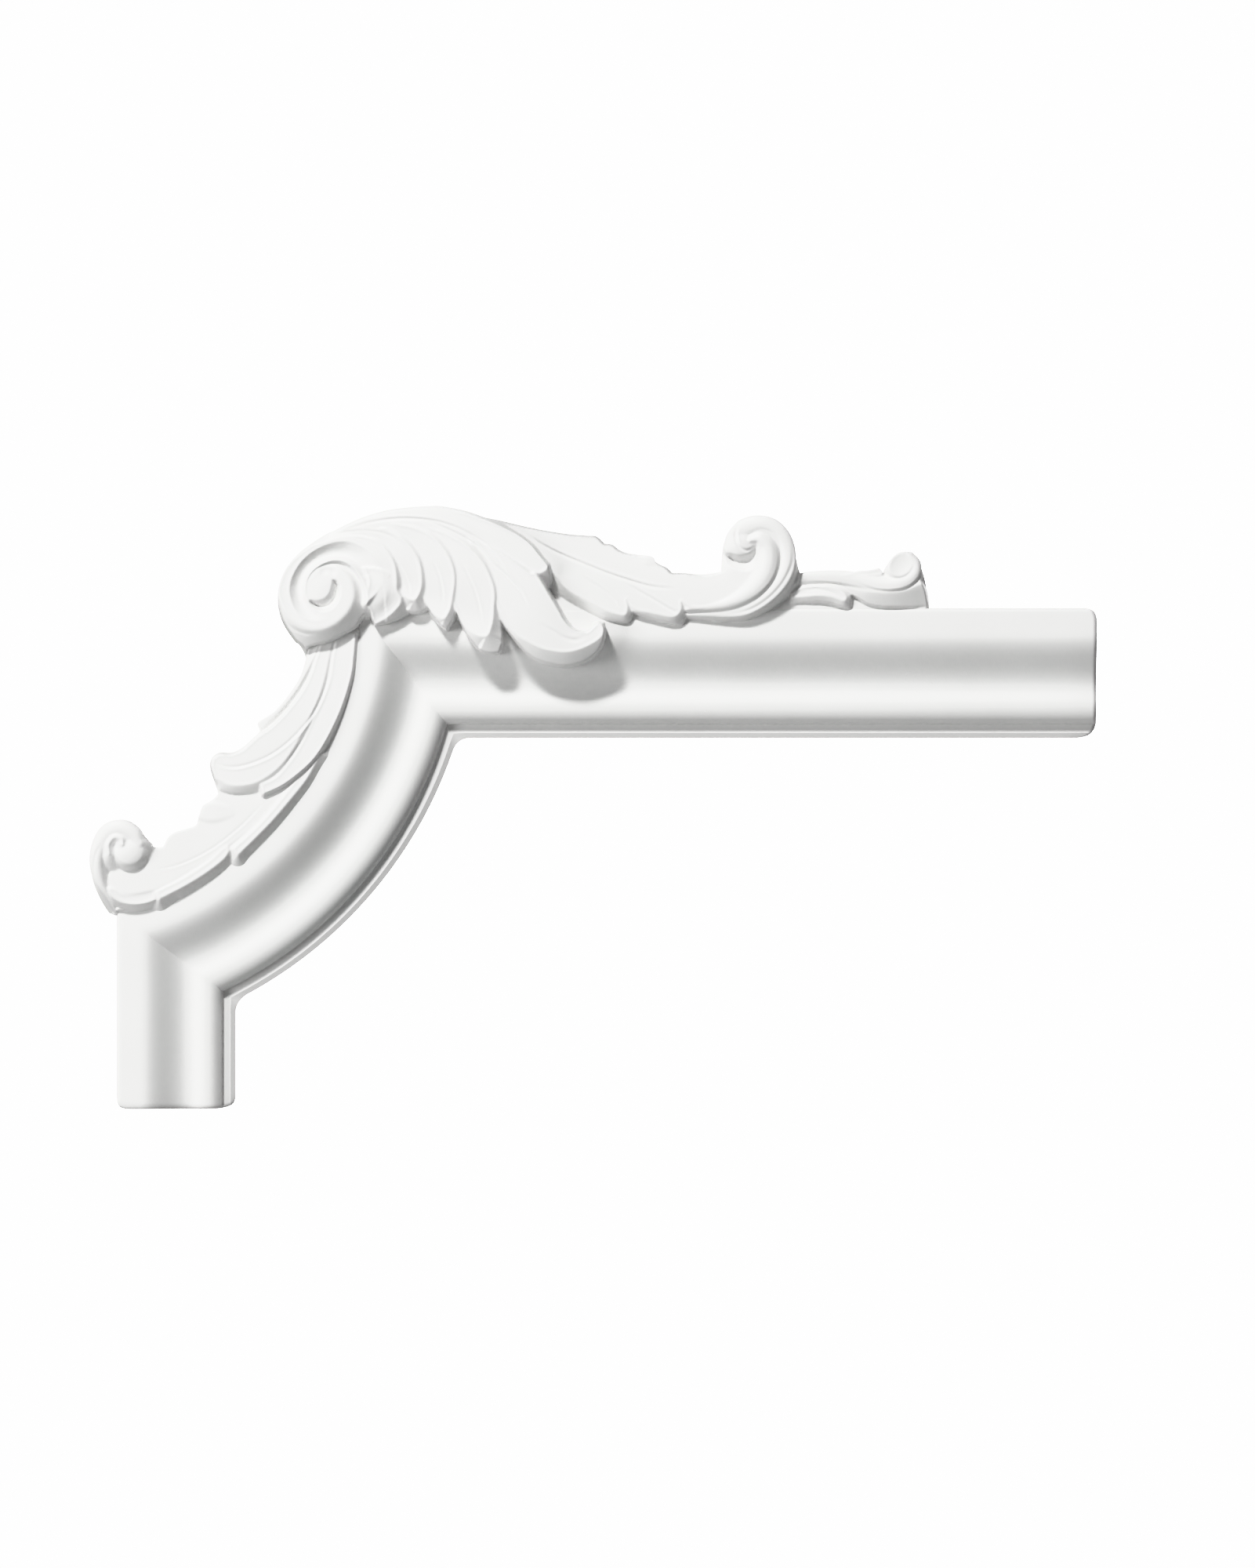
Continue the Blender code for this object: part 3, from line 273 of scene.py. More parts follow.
class Relief:
    """Carving as heights on a grid, built up lobe by lobe and then hollowed.

    The heights in its lists of points are above the moulding's crest. The footprint is how far
    each point is inside the carving's outline.
    """

    # Blending of lobes, fading of fine lines, the sides that drop off at a foot, and lips and hollows
    BLEND = 0.4
    FADE = 0.25
    DROP = 14.0
    DROP_ROLL = 0.1
    FOOT_INSET = 0.8
    FOOT_MARGIN = 16.0
    STEEPEST = 2.5
    LEAST_WIDTH = 0.05
    LEAST_GAP = 0.01
    LIP_PLACE = 0.5
    LIP_WIDTH = 0.6
    POCKET_ROLL = 0.6
    CHANNEL_LEAN = 1.35
    VEIN_LIP = 0.6
    VEIN_LIP_PLACE = 1.7

    def __init__(self, x_range, z_range, cell):
        self.x = np.arange(x_range[0], x_range[1] + cell, cell)
        self.z = np.arange(z_range[0], z_range[1] + cell, cell)
        self.height = np.full((len(self.z), len(self.x)), CARVING_FLOOR)
        self.footprint = np.full(self.height.shape, -PROJECTION)

    def window(self, points, margin):
        """The part of the grid round some points, with a margin, and the places in it."""
        low = points.min(axis=0) - margin
        high = points.max(axis=0) + margin
        i0, i1 = np.searchsorted(self.x, (low[0], high[0]))
        j0, j1 = np.searchsorted(self.z, (low[1], high[1]))
        x, z = np.meshgrid(self.x[i0:i1], self.z[j0:j1])
        return (slice(j0, j1), slice(i0, i1)), x, z

    def add(self, part, top, inward, slope, roll):
        wall = smooth_max(0.0, -slope * inward, roll)
        new = np.maximum(PROJECTION + top - wall, CARVING_FLOOR)
        self.height[part] = smooth_max(self.height[part], new, self.BLEND)
        self.footprint[part] = np.maximum(self.footprint[part], inward)

    def lobe(self, edges, ridge, slope=2.5, roll=2.0, camber=(0.0, 0.0), tilt=0.0, lip=0.0, foot=None):
        """A lobe: its edges are smooth curves that meet in corners, and its top has the ridge's heights.

        Each edge starts at the last point of the one before it. Slope is the steepness of the
        lobe's sides, which can differ from edge to edge. Roll softens the edge between top and
        side, camber is how fast the top falls to the left and right of the ridge, tilt leans it
        over and lip raises its rim. The sides drop off where they reach the foot, which is a
        second outline.
        """
        curves = outline_curves(edges)
        outline = np.vstack(curves)
        margin = 2 * PROJECTION / min(np.min(slope), self.STEEPEST) if foot is None else self.FOOT_MARGIN
        part, x, z = self.window(outline, margin)
        line = smooth_curve(ridge)
        top = blended_height(x, z, line)
        if tilt or any(camber):
            _, side, _ = nearest_on(x, z, line)
            top += tilt * side - np.where(side > 0, camber[0], camber[1]) * side**2
        inward, place = inward_distance(x, z, outline)
        steepness = along_edges(slope, [len(curve) for curve in curves], place)
        top += lip * np.exp(-(((inward - self.LIP_PLACE) / self.LIP_WIDTH) ** 2))
        if foot is not None:
            top -= smooth_max(0.0, -steepness * inward, roll)
            inward, _ = inward_distance(x, z, np.vstack(outline_curves(foot)))
            top -= self.DROP * np.clip(self.FOOT_INSET - inward, 0, self.FOOT_INSET)
            steepness, roll = self.DROP, self.DROP_ROLL
        self.add(part, top, inward, steepness, roll)

    def strand(self, rows, crown=1.0, slope=2.5, roll=2.0, tilt=0.0, reach=PROJECTION):
        """A rounded strand along a curve, from rows of x, z, half width and height.

        Its sides drop off where they are further from it than its reach.
        """
        line = smooth_curve(rows)
        part, x, z = self.window(line[:, :2], 2 * PROJECTION / slope)
        distance, side, place = nearest_on(x, z, line)
        count = np.arange(len(line))
        width = np.maximum(np.interp(place, count, line[:, 2]), self.LEAST_WIDTH)
        across = np.clip(side / width, -1, 1)
        top = np.interp(place, count, line[:, 3]) - crown * across**2 + tilt * across
        top -= self.DROP * np.maximum(distance - width - reach, 0)
        self.add(part, top, width - distance, slope, roll)

    def button(self, centre, radius, height, fall, slope=2.5, roll=2.0, stretch=1.0, turn=0.0):
        """A round or oval button. Its middle is at the height, and its edge is lower by the fall."""
        part, x, z = self.window(np.array([centre]), radius * stretch + 2 * PROJECTION / slope)
        dx, dz = x - centre[0], z - centre[1]
        along = (dx * math.cos(turn) + dz * math.sin(turn)) / stretch
        across = (dz * math.cos(turn) - dx * math.sin(turn)) * stretch
        distance = np.hypot(along, across)
        top = height - fall * np.clip(distance / radius, 0, 1) ** 2
        self.add(part, top, radius - distance, slope, roll)

    def along_line(self, points, margin):
        """Near a curve: the part of the grid, distances without and with a sign, and a fade at its ends."""
        line = smooth_curve(points)
        part, x, z = self.window(line, margin)
        distance, side, place = nearest_on(x, z, line)
        share = place / (len(line) - 1)
        return part, distance, side, np.clip(np.minimum(share, 1 - share) / self.FADE, 0, 1)

    def groove(self, points, width, depth):
        """A fine groove along a curve that fades at both ends."""
        part, distance, _, ends = self.along_line(points, 3 * width)
        self.height[part] -= depth * ends * np.exp(-((distance / width) ** 2))

    def ridge(self, points, width, height):
        """A fine raised line along a curve that fades at both ends."""
        self.groove(points, width, -height)

    def vein(self, points, width, depth):
        """A fine groove with a raised lip on its left side, fading at both ends."""
        part, distance, side, ends = self.along_line(points, 5 * width)
        ends = np.where(distance > np.abs(side) + 1e-9, 0, ends)
        lip = self.VEIN_LIP * np.exp(-((side / width - self.VEIN_LIP_PLACE) ** 2))
        self.height[part] -= depth * ends * (np.exp(-((side / width) ** 2)) - lip)

    def pocket(self, edges, depth, slope):
        """A pocket with a crisp rim, from the outline of its rim."""
        curves = outline_curves(edges)
        outline = np.vstack(curves)
        part, x, z = self.window(outline, 1.0)
        inward, place = inward_distance(x, z, outline)
        slope = along_edges(slope, [len(curve) for curve in curves], place)
        self.height[part] -= np.clip(-smooth_max(-slope * inward, -depth, self.POCKET_ROLL), 0, depth)

    def channel(self, start, end, depths):
        """A channel between two lines side by side, from rows of share along the first and depth."""
        start, end = smooth_curve(start), smooth_curve(end)
        part, x, z = self.window(start, 1.0)
        here, here_side, place = nearest_on(x, z, start)
        there, there_side, _ = nearest_on(x, z, end)
        share = place / (len(start) - 1)
        across = here / np.maximum(here + there, self.LEAST_GAP)
        depth = np.interp(share, *np.array(depths).T) * np.sin(math.pi * across**self.CHANNEL_LEAN)
        between = (here_side > 0) & (there_side < 0)
        self.height[part] -= np.where(between, depth, 0.0)

    def soften(self):
        """Rounds every edge over by about the spacing of the points."""
        for axis in (0, 1):
            before = np.roll(self.height, 1, axis)
            after = np.roll(self.height, -1, axis)
            self.height = 0.5 * self.height + 0.25 * (before + after)


def upper_ground(relief):
    """Ground level with the moulding's crest, which closes the gaps between the carving and the moulding."""
    relief.lobe([
        [(-22, 45), (10, 60), (50, 54), (72, 46), (100, 38), (150, 46), (176, 44), (184, 37.5)],
        [(204, 36), (222, 35), (238, 35), (239.4, 32.5), (239.4, 27)],
        [(100, 24), (-24, 26)],
    ], [
        (-20, 40, -0.1), (100, 34, -0.1), (150, 34, -0.4), (230, 32, -0.4),
    ], roll=0.5)


def lower_ground(relief):
    """The same along the arc."""
    relief.lobe([
        [(-51, -3), (-66, -23), (-84, -44), (-92, -66), (-116, -84), (-131, -96), (-134, -108)],
        [(-128, -107), (-104, -98), (-76, -81), (-52, -58), (-36, -34), (-24, 2), (-21, 26)],
        [(-40, 24), (-46.6, 9)],
    ], [
        (-36, 12, -0.6), (-62, -50, -0.6), (-130, -104, -0.6),
    ], roll=0.5)


def lower_leaf(relief):
    """The long leaf that lies on the arc, from under the volute down to the lower scroll."""
    relief.lobe([
        [(-46, 12), (-47.6, 4), (-52, -5.5), (-60, -15), (-66.5, -21.4), (-68.4, -26.5), (-73, -32),
         (-84, -39), (-88, -48), (-87.5, -54.6)],
        [(-90.5, -57.5), (-94.5, -60), (-96.6, -66)],
        [(-98, -69), (-104, -71), (-107.5, -72.2), (-110.5, -74.5), (-112.6, -78.6)],
        [(-115.5, -79.2), (-119, -78.5)],
        [(-130, -84), (-138, -92), (-137, -99), (-128, -101), (-116, -99)],
        [(-104, -92.5), (-76, -74), (-50, -46), (-31, -12), (-27, 10), (-26, 22)],
        [(-44, 22)],
    ], [
        (-34, 22, 0.8), (-44, -12, 1.4), (-76, -60, 2.2), (-96, -78, 2.2), (-118, -89, 2.6),
        (-132, -92, 3.2),
    ], roll=1.8)
    # Low lobe between the two notches of the outline
    relief.lobe([
        [(-90, -58.6), (-94, -60.4), (-96.8, -65.6)],
        [(-92, -66.8), (-86, -66.4), (-80, -64), (-82, -60)],
    ], [
        (-80, -62, 2.2), (-90, -62.5, 3), (-95, -64, 2.6),
    ], slope=0.7, roll=0.8)
    # Two strips along the foot of the leaf
    relief.lobe([
        [(-84.5, -84.4), (-92, -90.4), (-103, -97.2), (-114.4, -103)],
        [(-116.2, -99.4)],
        [(-104, -93.4), (-92, -85.6), (-84, -78.6), (-82, -80.5)],
    ], [
        (-83, -81, 2.4), (-93, -89, 2.6), (-104, -95.8, 2.7), (-115, -101, 2.8),
    ], slope=[1.15, 2.2, 0.5], roll=0.8, lip=0.25)
    relief.lobe([
        [(-46, -47), (-53, -56), (-62, -66.6), (-71, -75.8), (-78.4, -83)],
        [(-80.6, -79.6)],
        [(-68, -68), (-55, -52.5), (-46, -40), (-40, -36)],
    ], [
        (-42, -38, 2), (-54, -56, 2.6), (-66, -69.6, 2.8), (-79, -81, 2.8),
    ], slope=[1.15, 2.2, 0.5], roll=0.8, lip=0.25)
    # Back lobe on the left edge
    relief.lobe([
        [(-42, 12), (-46.2, 5), (-50.5, -4), (-55.5, -10.5), (-61.5, -16.5), (-67.3, -20.3)],
        [(-69.2, -22), (-68, -25.8)],
        [(-57, -14.5), (-49, -3), (-43, 8), (-40, 20)],
    ], [
        (-41, 18, 2.4), (-51, -6, 3), (-60, -17.5, 3.2), (-67.5, -23, 3),
    ], slope=1.2, roll=1.2)
    # Main lobe, curled over the rest
    relief.lobe([
        [(-41, 12), (-46.5, -3.5), (-54, -14.5), (-62, -23), (-69, -28), (-75.5, -33.8), (-81, -36.2),
         (-86.5, -36.3), (-89.6, -38.4)],
        [(-90.2, -42.4), (-88.4, -47.4)],
        [(-83, -50.4), (-77, -51), (-70, -49.6), (-64, -46.4), (-58, -41.2), (-52, -33), (-45, -20),
         (-39, -5), (-35, 12), (-33, 20)],
        [(-38.5, 20)],
    ], [
        (-35, 20, 2), (-42, -8, 3.4), (-52, -24, 4.8), (-64, -36, 5.6), (-78, -43, 5.8), (-89, -42, 5.6),
    ], slope=[1.6, 1.6, 0.8, 1], roll=1.0, lip=0.2, foot=[
        [(-42, 12), (-47.5, -3.3), (-55, -14), (-63, -22.4), (-70, -27.4), (-76, -32.8), (-81, -35.2),
         (-87, -35.3), (-90.6, -38), (-91.2, -43), (-87.6, -53.4)],
        [(-82, -55), (-76, -55.4), (-68, -54.4), (-62, -51)],
        [(-28, 0)],
        [(-28, 24)],
        [(-40, 24)],
    ])
    # Strip on its right, with a tip of its own
    relief.lobe([
        [(-24.5, 10), (-25.8, 0), (-30, -14), (-36.4, -28), (-42.8, -38), (-50, -45), (-58, -50.8),
         (-66.4, -54.6)],
        [(-67.8, -50)],
        [(-61, -46.8), (-56, -41.5), (-50, -33), (-43, -18.6), (-37.3, -4), (-34, 12), (-32, 20)],
        [(-23.8, 20)],
    ], [
        (-28, 20, 2.2), (-31, -6, 2.5), (-38.5, -24, 3.2), (-48, -39, 4.2), (-58, -48.4, 4.8),
        (-66.6, -52.4, 5),
    ], slope=[2.8, 2.2, 0.8, 1], roll=0.8, lip=0.25)
    relief.vein([
        (-34.5, 10), (-36.5, -2), (-42.5, -16), (-52, -28), (-63, -36.6), (-75, -41.4), (-83, -42),
        (-88, -40),
    ], 0.55, 0.6)
    relief.vein([(-66, -58), (-76, -68.6), (-90, -79.6), (-104, -86.6), (-117, -89.8)], 0.4, 0.35)


def lower_scroll(relief):
    """The scroll at the lower end of the leaf."""
    # Ground that carries the scroll
    relief.lobe([
        [(-121.5, -74.4), (-125, -69.8), (-130, -67), (-138, -70), (-144.5, -80), (-145.6, -92),
         (-141.5, -103.5), (-134.6, -114.5)],
        [(-130.5, -106), (-120, -92), (-118, -78)],
    ], [
        (-128, -72, 2), (-130, -80, 1), (-138, -96, 0), (-135, -112, -8),
    ], slope=2.6, roll=1.0)
    # Outer strand, round to the front of the ball
    relief.strand([
        (-134.5, -108.5, 0.8, -1), (-138.4, -101, 1.9, 3), (-142, -94, 2.8, 5.6), (-143.4, -86, 3.2, 7.4),
        (-142.2, -78.5, 3.5, 8.6), (-138.4, -72.2, 3.8, 9.4), (-132.4, -70, 3.8, 9.8),
        (-127, -72.6, 3.6, 9.4), (-124.2, -77, 3.2, 8.6),
    ], crown=1.3, slope=1.0, roll=1.2)
    relief.button((-128.2, -80.2), 7.2, 9.0, 2.0, slope=1.5, roll=1.4)
    relief.strand([
        (-137.4, -82, 1, 8.8), (-137.8, -77.6, 1.2, 9.4), (-135.2, -74.2, 1.4, 9.8),
        (-132, -74.8, 1.4, 9.8), (-131.2, -77.6, 1.2, 9.6),
    ], crown=0.6, slope=0.7, roll=1.0)
    relief.groove([(-141.5, -104), (-144.2, -94), (-144, -84), (-140.5, -76)], 0.6, 0.35)
    # Small curl along the foot, where the leaf rolls over
    relief.lobe([
        [(-120, -104.8), (-126, -105.6), (-132, -104.6), (-136.4, -101.6), (-138.4, -97.6)],
        [(-135, -98), (-131, -100.4), (-124, -100.2), (-116.6, -98.4)],
        [(-115.8, -103.2)],
    ], [
        (-116.4, -101, 2), (-126, -102.8, 2.3), (-133, -101.4, 2.9), (-138, -98, 4),
    ], slope=[1.4, 0.9, 2], roll=0.9, lip=0.3)


def long_leaf(relief):
    """The leaf that runs on behind the big one, along the long arm."""
    upper_edge = [
        [(43.5, 71.5), (57.8, 68.3), (72.3, 65.8), (82, 64.9), (87, 64.5), (90.8, 61.2)],
        [(94.5, 60.6), (97.5, 58.3), (101, 56.8), (105.5, 56), (112.6, 55), (114.4, 52.6)],
        [(116.5, 51.3), (119.5, 50), (122, 47.6)],
        [(128, 47.5), (134, 46.9), (140, 47.2), (146, 48.6), (152, 52)],
    ]
    relief.lobe([
        *upper_edge,
        [(158, 44), (152, 36), (140, 31.4), (131, 31), (126.4, 34)],
        [(126.4, 30.4), (124.4, 27.6), (121, 26.8), (112, 28.6), (105, 30.2), (101.2, 35)],
        [(101.8, 31), (100.6, 27.8), (97.6, 27.8), (91, 29.8), (82, 34.6), (72.8, 40), (62, 52),
         (33, 73.5)],
    ], [
        (40, 71, 6), (60, 60, 5.6), (75, 52, 5.4), (95, 44, 5.6), (115, 40, 6), (135, 40, 6.8),
        (152, 43, 8),
    ], slope=[2.3, 2.3, 2.3, 2.3, 1.0, 0.9, 0.9], roll=1.2, camber=(0.004, 0.004), lip=0.3, foot=[
        *upper_edge,
        [(160, 36)],
        [(129, 28.8)],
        [(128.4, 24.6), (126, 22.2), (115, 24.6), (104.2, 28.2)],
        [(103.6, 25.6), (101.2, 23.6), (95, 24.4), (86, 27.4), (73, 34.6)],
        [(33, 60)],
        [(33, 73.5)],
    ])
    relief.lobe([
        [(107, 54.8), (112, 54.6), (114.4, 52.6)],
        [(113.6, 51.2), (108, 51.4), (101.4, 53.4)],
    ], [
        (102, 53, 4.6), (113, 52.6, 5.6),
    ], slope=0.8, roll=0.7)
    relief.vein([
        (51.9, 67.5), (59.6, 61.9), (68.6, 57), (79.7, 52.2), (90.2, 48), (101.3, 44.2), (112, 41.2),
        (124, 40),
    ], 0.6, 0.9)
    relief.vein([(99, 43.6), (107, 38.8), (114, 34.8), (121, 30.6), (124.6, 29)], 0.6, 0.6)
    relief.vein([(80, 46), (88, 41), (94, 35.6), (97.6, 31)], 0.6, 0.4)


def right_scroll(relief):
    """The scroll that rises where the long leaf ends."""
    # Ground that carries the scroll
    relief.lobe([
        [(145, 56), (146.4, 63), (151, 70.2), (156, 73), (161.5, 73.9), (167, 72.8), (172.6, 69.4),
         (176.6, 64.4), (179.6, 52), (181, 47)],
        [(178, 41), (164, 29.5), (154, 26.6), (140, 26.4), (144.6, 48)],
    ], [
        (150, 55, 6.5), (165, 50, 6), (160, 32, 1),
    ], slope=2.6, roll=1.5)
    # Broad face that the leaf rolls up from
    relief.lobe([
        [(142, 46), (148, 51), (156, 60), (166, 60)],
        [(166, 50), (160, 41), (148, 35), (134, 33), (132, 42)],
    ], [
        (134, 38, 6.4), (146, 40, 7.4), (156, 46, 8.8), (163, 54, 10),
    ], slope=[0.5, 2.5], roll=2.0)
    # Eye, over the pocket at its foot
    relief.button((153.6, 61.6), 7.4, 12.2, 2.4, slope=1.4, roll=1.6)
    relief.pocket([
        [(146.8, 53), (149.6, 49.8), (155, 48.2), (159.6, 49.4), (162.4, 54), (162.2, 60.4)],
        [(160, 58.2), (156, 55.8), (151, 55.6), (146.6, 58.4)],
    ], depth=3.4, slope=[0.9, 1.4])
    # Inner and outer strand
    relief.strand([
        (129, 30.6, 1.4, 6), (141, 31.8, 2.6, 7.2), (151, 34.4, 3.4, 8.8), (159.5, 39.4, 4.2, 10.4),
        (165.2, 46.2, 4.4, 11.6), (167.4, 53.6, 4.2, 12.4), (166.4, 60, 3.8, 12.8), (162.4, 63.8, 3.2, 13),
        (158.2, 63, 2, 12.6),
    ], crown=1.5, slope=0.8, roll=1.2, tilt=0.6, reach=2.4)
    relief.strand([
        (128, 28.2, 1.2, 3.6), (151, 29.4, 2.8, 6.2), (160, 32.6, 3.2, 7.6), (167.6, 38.2, 3.4, 9),
        (172.8, 44.6, 3.6, 10.2), (175.2, 51, 3.6, 11), (175.2, 57.8, 3.6, 11.6), (172.8, 64, 3.7, 12.2),
        (168.2, 68.4, 3.9, 12.6), (162.2, 70, 3.9, 12.8), (156, 68.6, 4, 12.4), (151.2, 64.6, 3.8, 11.6),
        (149.2, 59, 3.2, 10.6),
    ], crown=1.1, slope=2.8, roll=1.2)
    relief.groove([
        (140, 28.4), (152, 28.9), (160.4, 31.6), (168.4, 37.4), (174, 44.4), (177.2, 52), (177.4, 60),
    ], 0.8, 0.6)
    relief.vein([
        (150.8, 31.4), (160, 35.4), (167.6, 42.2), (171.6, 51), (171.8, 59.4), (168.6, 65.2), (162.6, 67.4),
        (156.8, 65.2),
    ], 0.7, 0.35)
    relief.vein([(152, 69.6), (151.2, 64.6), (152.4, 60), (156.4, 57.6), (160.6, 59.6)], 0.6, 0.6)


def sprig(relief):
    """The last leaves on the long arm, which end in a small scroll."""
    # Foot of the sprig
    relief.lobe([
        [(180, 46.2), (187, 47.6), (196, 48.6), (206, 48), (219, 46.5)],
        [(221, 51), (225, 56), (229, 57.2), (232.7, 56.3), (235.6, 52.8), (238.8, 43), (240.2, 32.3)],
        [(224, 31.6), (204, 34), (196, 33.5), (178, 32), (178, 40)],
    ], [
        (182, 40, -1.5), (205, 40, -1.5), (225, 38, -1), (238, 36, -1),
    ], slope=2.6, roll=1.0)
    # Lower strand, with a broad face that slopes down to the moulding
    relief.lobe([
        [(204, 40.6), (212, 38.4), (222, 38.2), (230, 39.6), (236, 41.4), (240.4, 42.6)],
        [(238, 45), (225, 46), (196, 47), (196, 43)],
    ], [
        (198, 43.6, 2.8), (212, 40, 4.6), (224, 40, 5.6), (238, 43, 5.6),
    ], slope=[0.58, 1], roll=0.8, lip=0.2, foot=[
        [(206, 35.6), (212, 32.2), (220, 30.8), (232, 30.8), (240.6, 31.4)],
        [(240.4, 36), (239.4, 40), (237.4, 44), (235.6, 47)],
        [(196, 45)],
        [(196, 40)],
    ])
    relief.lobe([
        [(181.5, 40.8), (188, 41.9), (194.5, 41.4), (199.6, 39.8), (202.6, 36.6), (202.2, 34.6)],
        [(200.6, 34.2), (196, 35.8), (190, 36.6), (182, 36), (176, 35.6), (176, 38)],
    ], [
        (177, 38, 2), (188, 40, 3.6), (197, 38.6, 4), (201.5, 36, 3.8),
    ], slope=[0.9, 0.8], roll=0.8, lip=0.35, foot=[
        [(206, 43)],
        [(205.6, 37), (205.4, 31), (203.6, 29.8)],
        [(199, 31.2), (192, 33), (182, 32.6), (176, 31.4)],
        [(176, 42)],
    ])
    relief.groove([(183, 39.4), (189, 39.8), (195, 38.6), (199.4, 36.4)], 0.5, 0.35)
    # Upper strand
    relief.strand([
        (178, 43.4, 2.9, 2.8), (186, 45.2, 3, 4.2), (202, 45.2, 3.3, 5), (218, 41.9, 3.3, 6.4),
        (225, 41.9, 3, 7), (231, 44, 2.6, 7.4), (234.4, 48, 2.3, 7.6), (234.4, 52, 2.1, 7.6),
        (231.6, 55.2, 2, 7.4),
    ], crown=0.9, slope=1.0, roll=1.0, tilt=0.3)
    # Tip of the upper leaf, and the face of the small scroll
    relief.lobe([
        [(207, 48.2), (213, 48.8), (217.3, 49.8)],
        [(219, 47.8), (218, 46), (210, 45.6), (200, 46)],
    ], [
        (203, 46.4, 5), (217, 48.4, 5.4),
    ], slope=1.2, roll=0.8, lip=0.2)
    relief.button((227.4, 51.2), 5.6, 6.8, -0.7, slope=1.4, roll=0.8, stretch=1.1, turn=math.radians(43))
    relief.vein([(206, 43.4), (216, 39.6), (225, 39.2), (232, 41.2), (236.6, 46), (237, 51)], 0.5, 0.5)
    relief.vein([(184, 43), (194, 42.6), (204, 41), (212, 39)], 0.5, 0.4)


def drum(relief):
    """The drum of the volute, whose side falls to a foot on the arc and the lower leaf."""
    relief.lobe([
        [(-43.2, 47.4), (-40, 49.6), (-36, 50.4), (-32, 49.8), (-28.5, 47.4), (-25.8, 43.8), (-24.6, 39.5),
         (-24.9, 35), (-27, 30.3), (-30.5, 26.2), (-35, 23), (-40, 21.3), (-45, 21.3), (-50, 23.3),
         (-54, 26.6), (-57, 31), (-58.8, 36)],
        [(-58, 43), (-50, 44), (-45.6, 44)],
    ], [
        (-40, 47, 12), (-30, 44, 12), (-28, 34, 12), (-38, 26, 12), (-48, 26, 12), (-55, 34, 12),
    ], slope=[0.85, 0.2], roll=0.8, foot=[
        [(-47.2, 11.6), (-49, 13.6), (-51.8, 15.3)],
        [(-54.5, 19), (-57.5, 24), (-59.4, 30), (-59.8, 36), (-59, 42), (-57, 47.2), (-54, 52),
         (-49.5, 56.9), (-43.2, 61.6), (-36, 66), (-28, 69.6)],
        [(-12, 60)],
        [(-14, 34)],
        [(-17, 29.2), (-19, 28), (-20.5, 26), (-22.5, 22.5), (-25, 20.2), (-31, 17.5), (-36, 15.2),
         (-40, 14), (-44.6, 12.8)],
    ])
    relief.strand([
        (-48, 15.6, 2.6, 1.4), (-46.9, 12, 1.5, 0.6), (-46.4, 8.8, 0.9, 0), (-46.2, 6.2, 0.3, -1),
    ], crown=0.8, slope=2.0, roll=0.8)


def volute(relief):
    """The ribbon that winds in from the lip, over the drum, to a round eye."""
    lip = (-18.8, 33.2)
    # Crest lines: the ribbon's inner edge, and the rim of the hollow along it
    inner_crest = [
        lip, (-18.9, 38), (-20.5, 43), (-23, 47.5), (-26, 50.8), (-30, 52.8), (-34.5, 53), (-38.5, 51.8),
        (-42.5, 49.5), (-45.5, 46), (-47, 41.5), (-46.8, 37), (-45, 33.5), (-42, 31),
    ]
    outer_crest = [
        (-10.8, 42), (-11.3, 48), (-14, 52.8), (-18, 57.3), (-22, 60), (-27, 61.8), (-32, 61.8),
        (-38, 60.2), (-44, 57), (-49, 52.5), (-52.5, 47), (-54.3, 41.5), (-54, 36), (-52, 31),
        (-48.5, 27.2), (-44.5, 25.4), (-40, 25.2), (-35, 26.6),
    ]
    relief.lobe([
        inner_crest[1:12],
        [(-44, 27), (-38, 24), (-50, 23.9)],
        [(-54.5, 27.4), (-57.6, 32), (-59.4, 38), (-58.6, 43), (-56.4, 48.5), (-52, 54), (-44, 60)],
        [(-30, 64), (-20, 61.8), (-13, 56), (-10, 49), (-10.4, 43.4), (-12.5, 39.7)],
        [(-15, 36.8), lip],
    ], [
        (-16, 40, 11.4), (-18, 50, 12.4), (-26, 57, 12.9), (-38, 57, 13), (-49, 50, 12.8), (-52, 42, 12.5),
        (-51, 34, 12.1), (-46, 27, 11.4),
    ], slope=[1.6, 1, 2.6, 0.5, 1.4], roll=0.7, lip=0.2)
    relief.channel(outer_crest, inner_crest, [
        (0, 0.4), (0.12, 1.2), (0.3, 2.7), (0.5, 3.2), (0.65, 2.6), (0.78, 1.6), (0.9, 0.6), (1, 0),
    ])
    # Ball of the eye, with the pocket that winds round its lower right
    relief.button((-39.6, 40.8), 6.6, 12.3, 0.9, slope=0.9, roll=1.2)
    relief.pocket([
        [(-44.6, 32.8), (-42.4, 30.8), (-39, 29.7), (-35.2, 30.6), (-32.4, 33.4), (-30.8, 37.4),
         (-30.9, 41.6)],
        [(-32.4, 43.8), (-34.6, 44.6)],
        [(-35.2, 41.4), (-36.2, 38), (-38.4, 35.8), (-41.4, 35), (-45.6, 35)],
    ], depth=3.6, slope=[2.6, 2.0, 0.85])
    relief.groove([(-40.5, 47.8), (-36.3, 48.6), (-32.2, 46.8)], 1.8, 0.6)
    relief.groove([(-56.5, 25.5), (-52.5, 21.6), (-47.5, 19.5), (-42, 19.2)], 0.6, 0.35)
    relief.ridge(outer_crest, 0.6, 0.35)


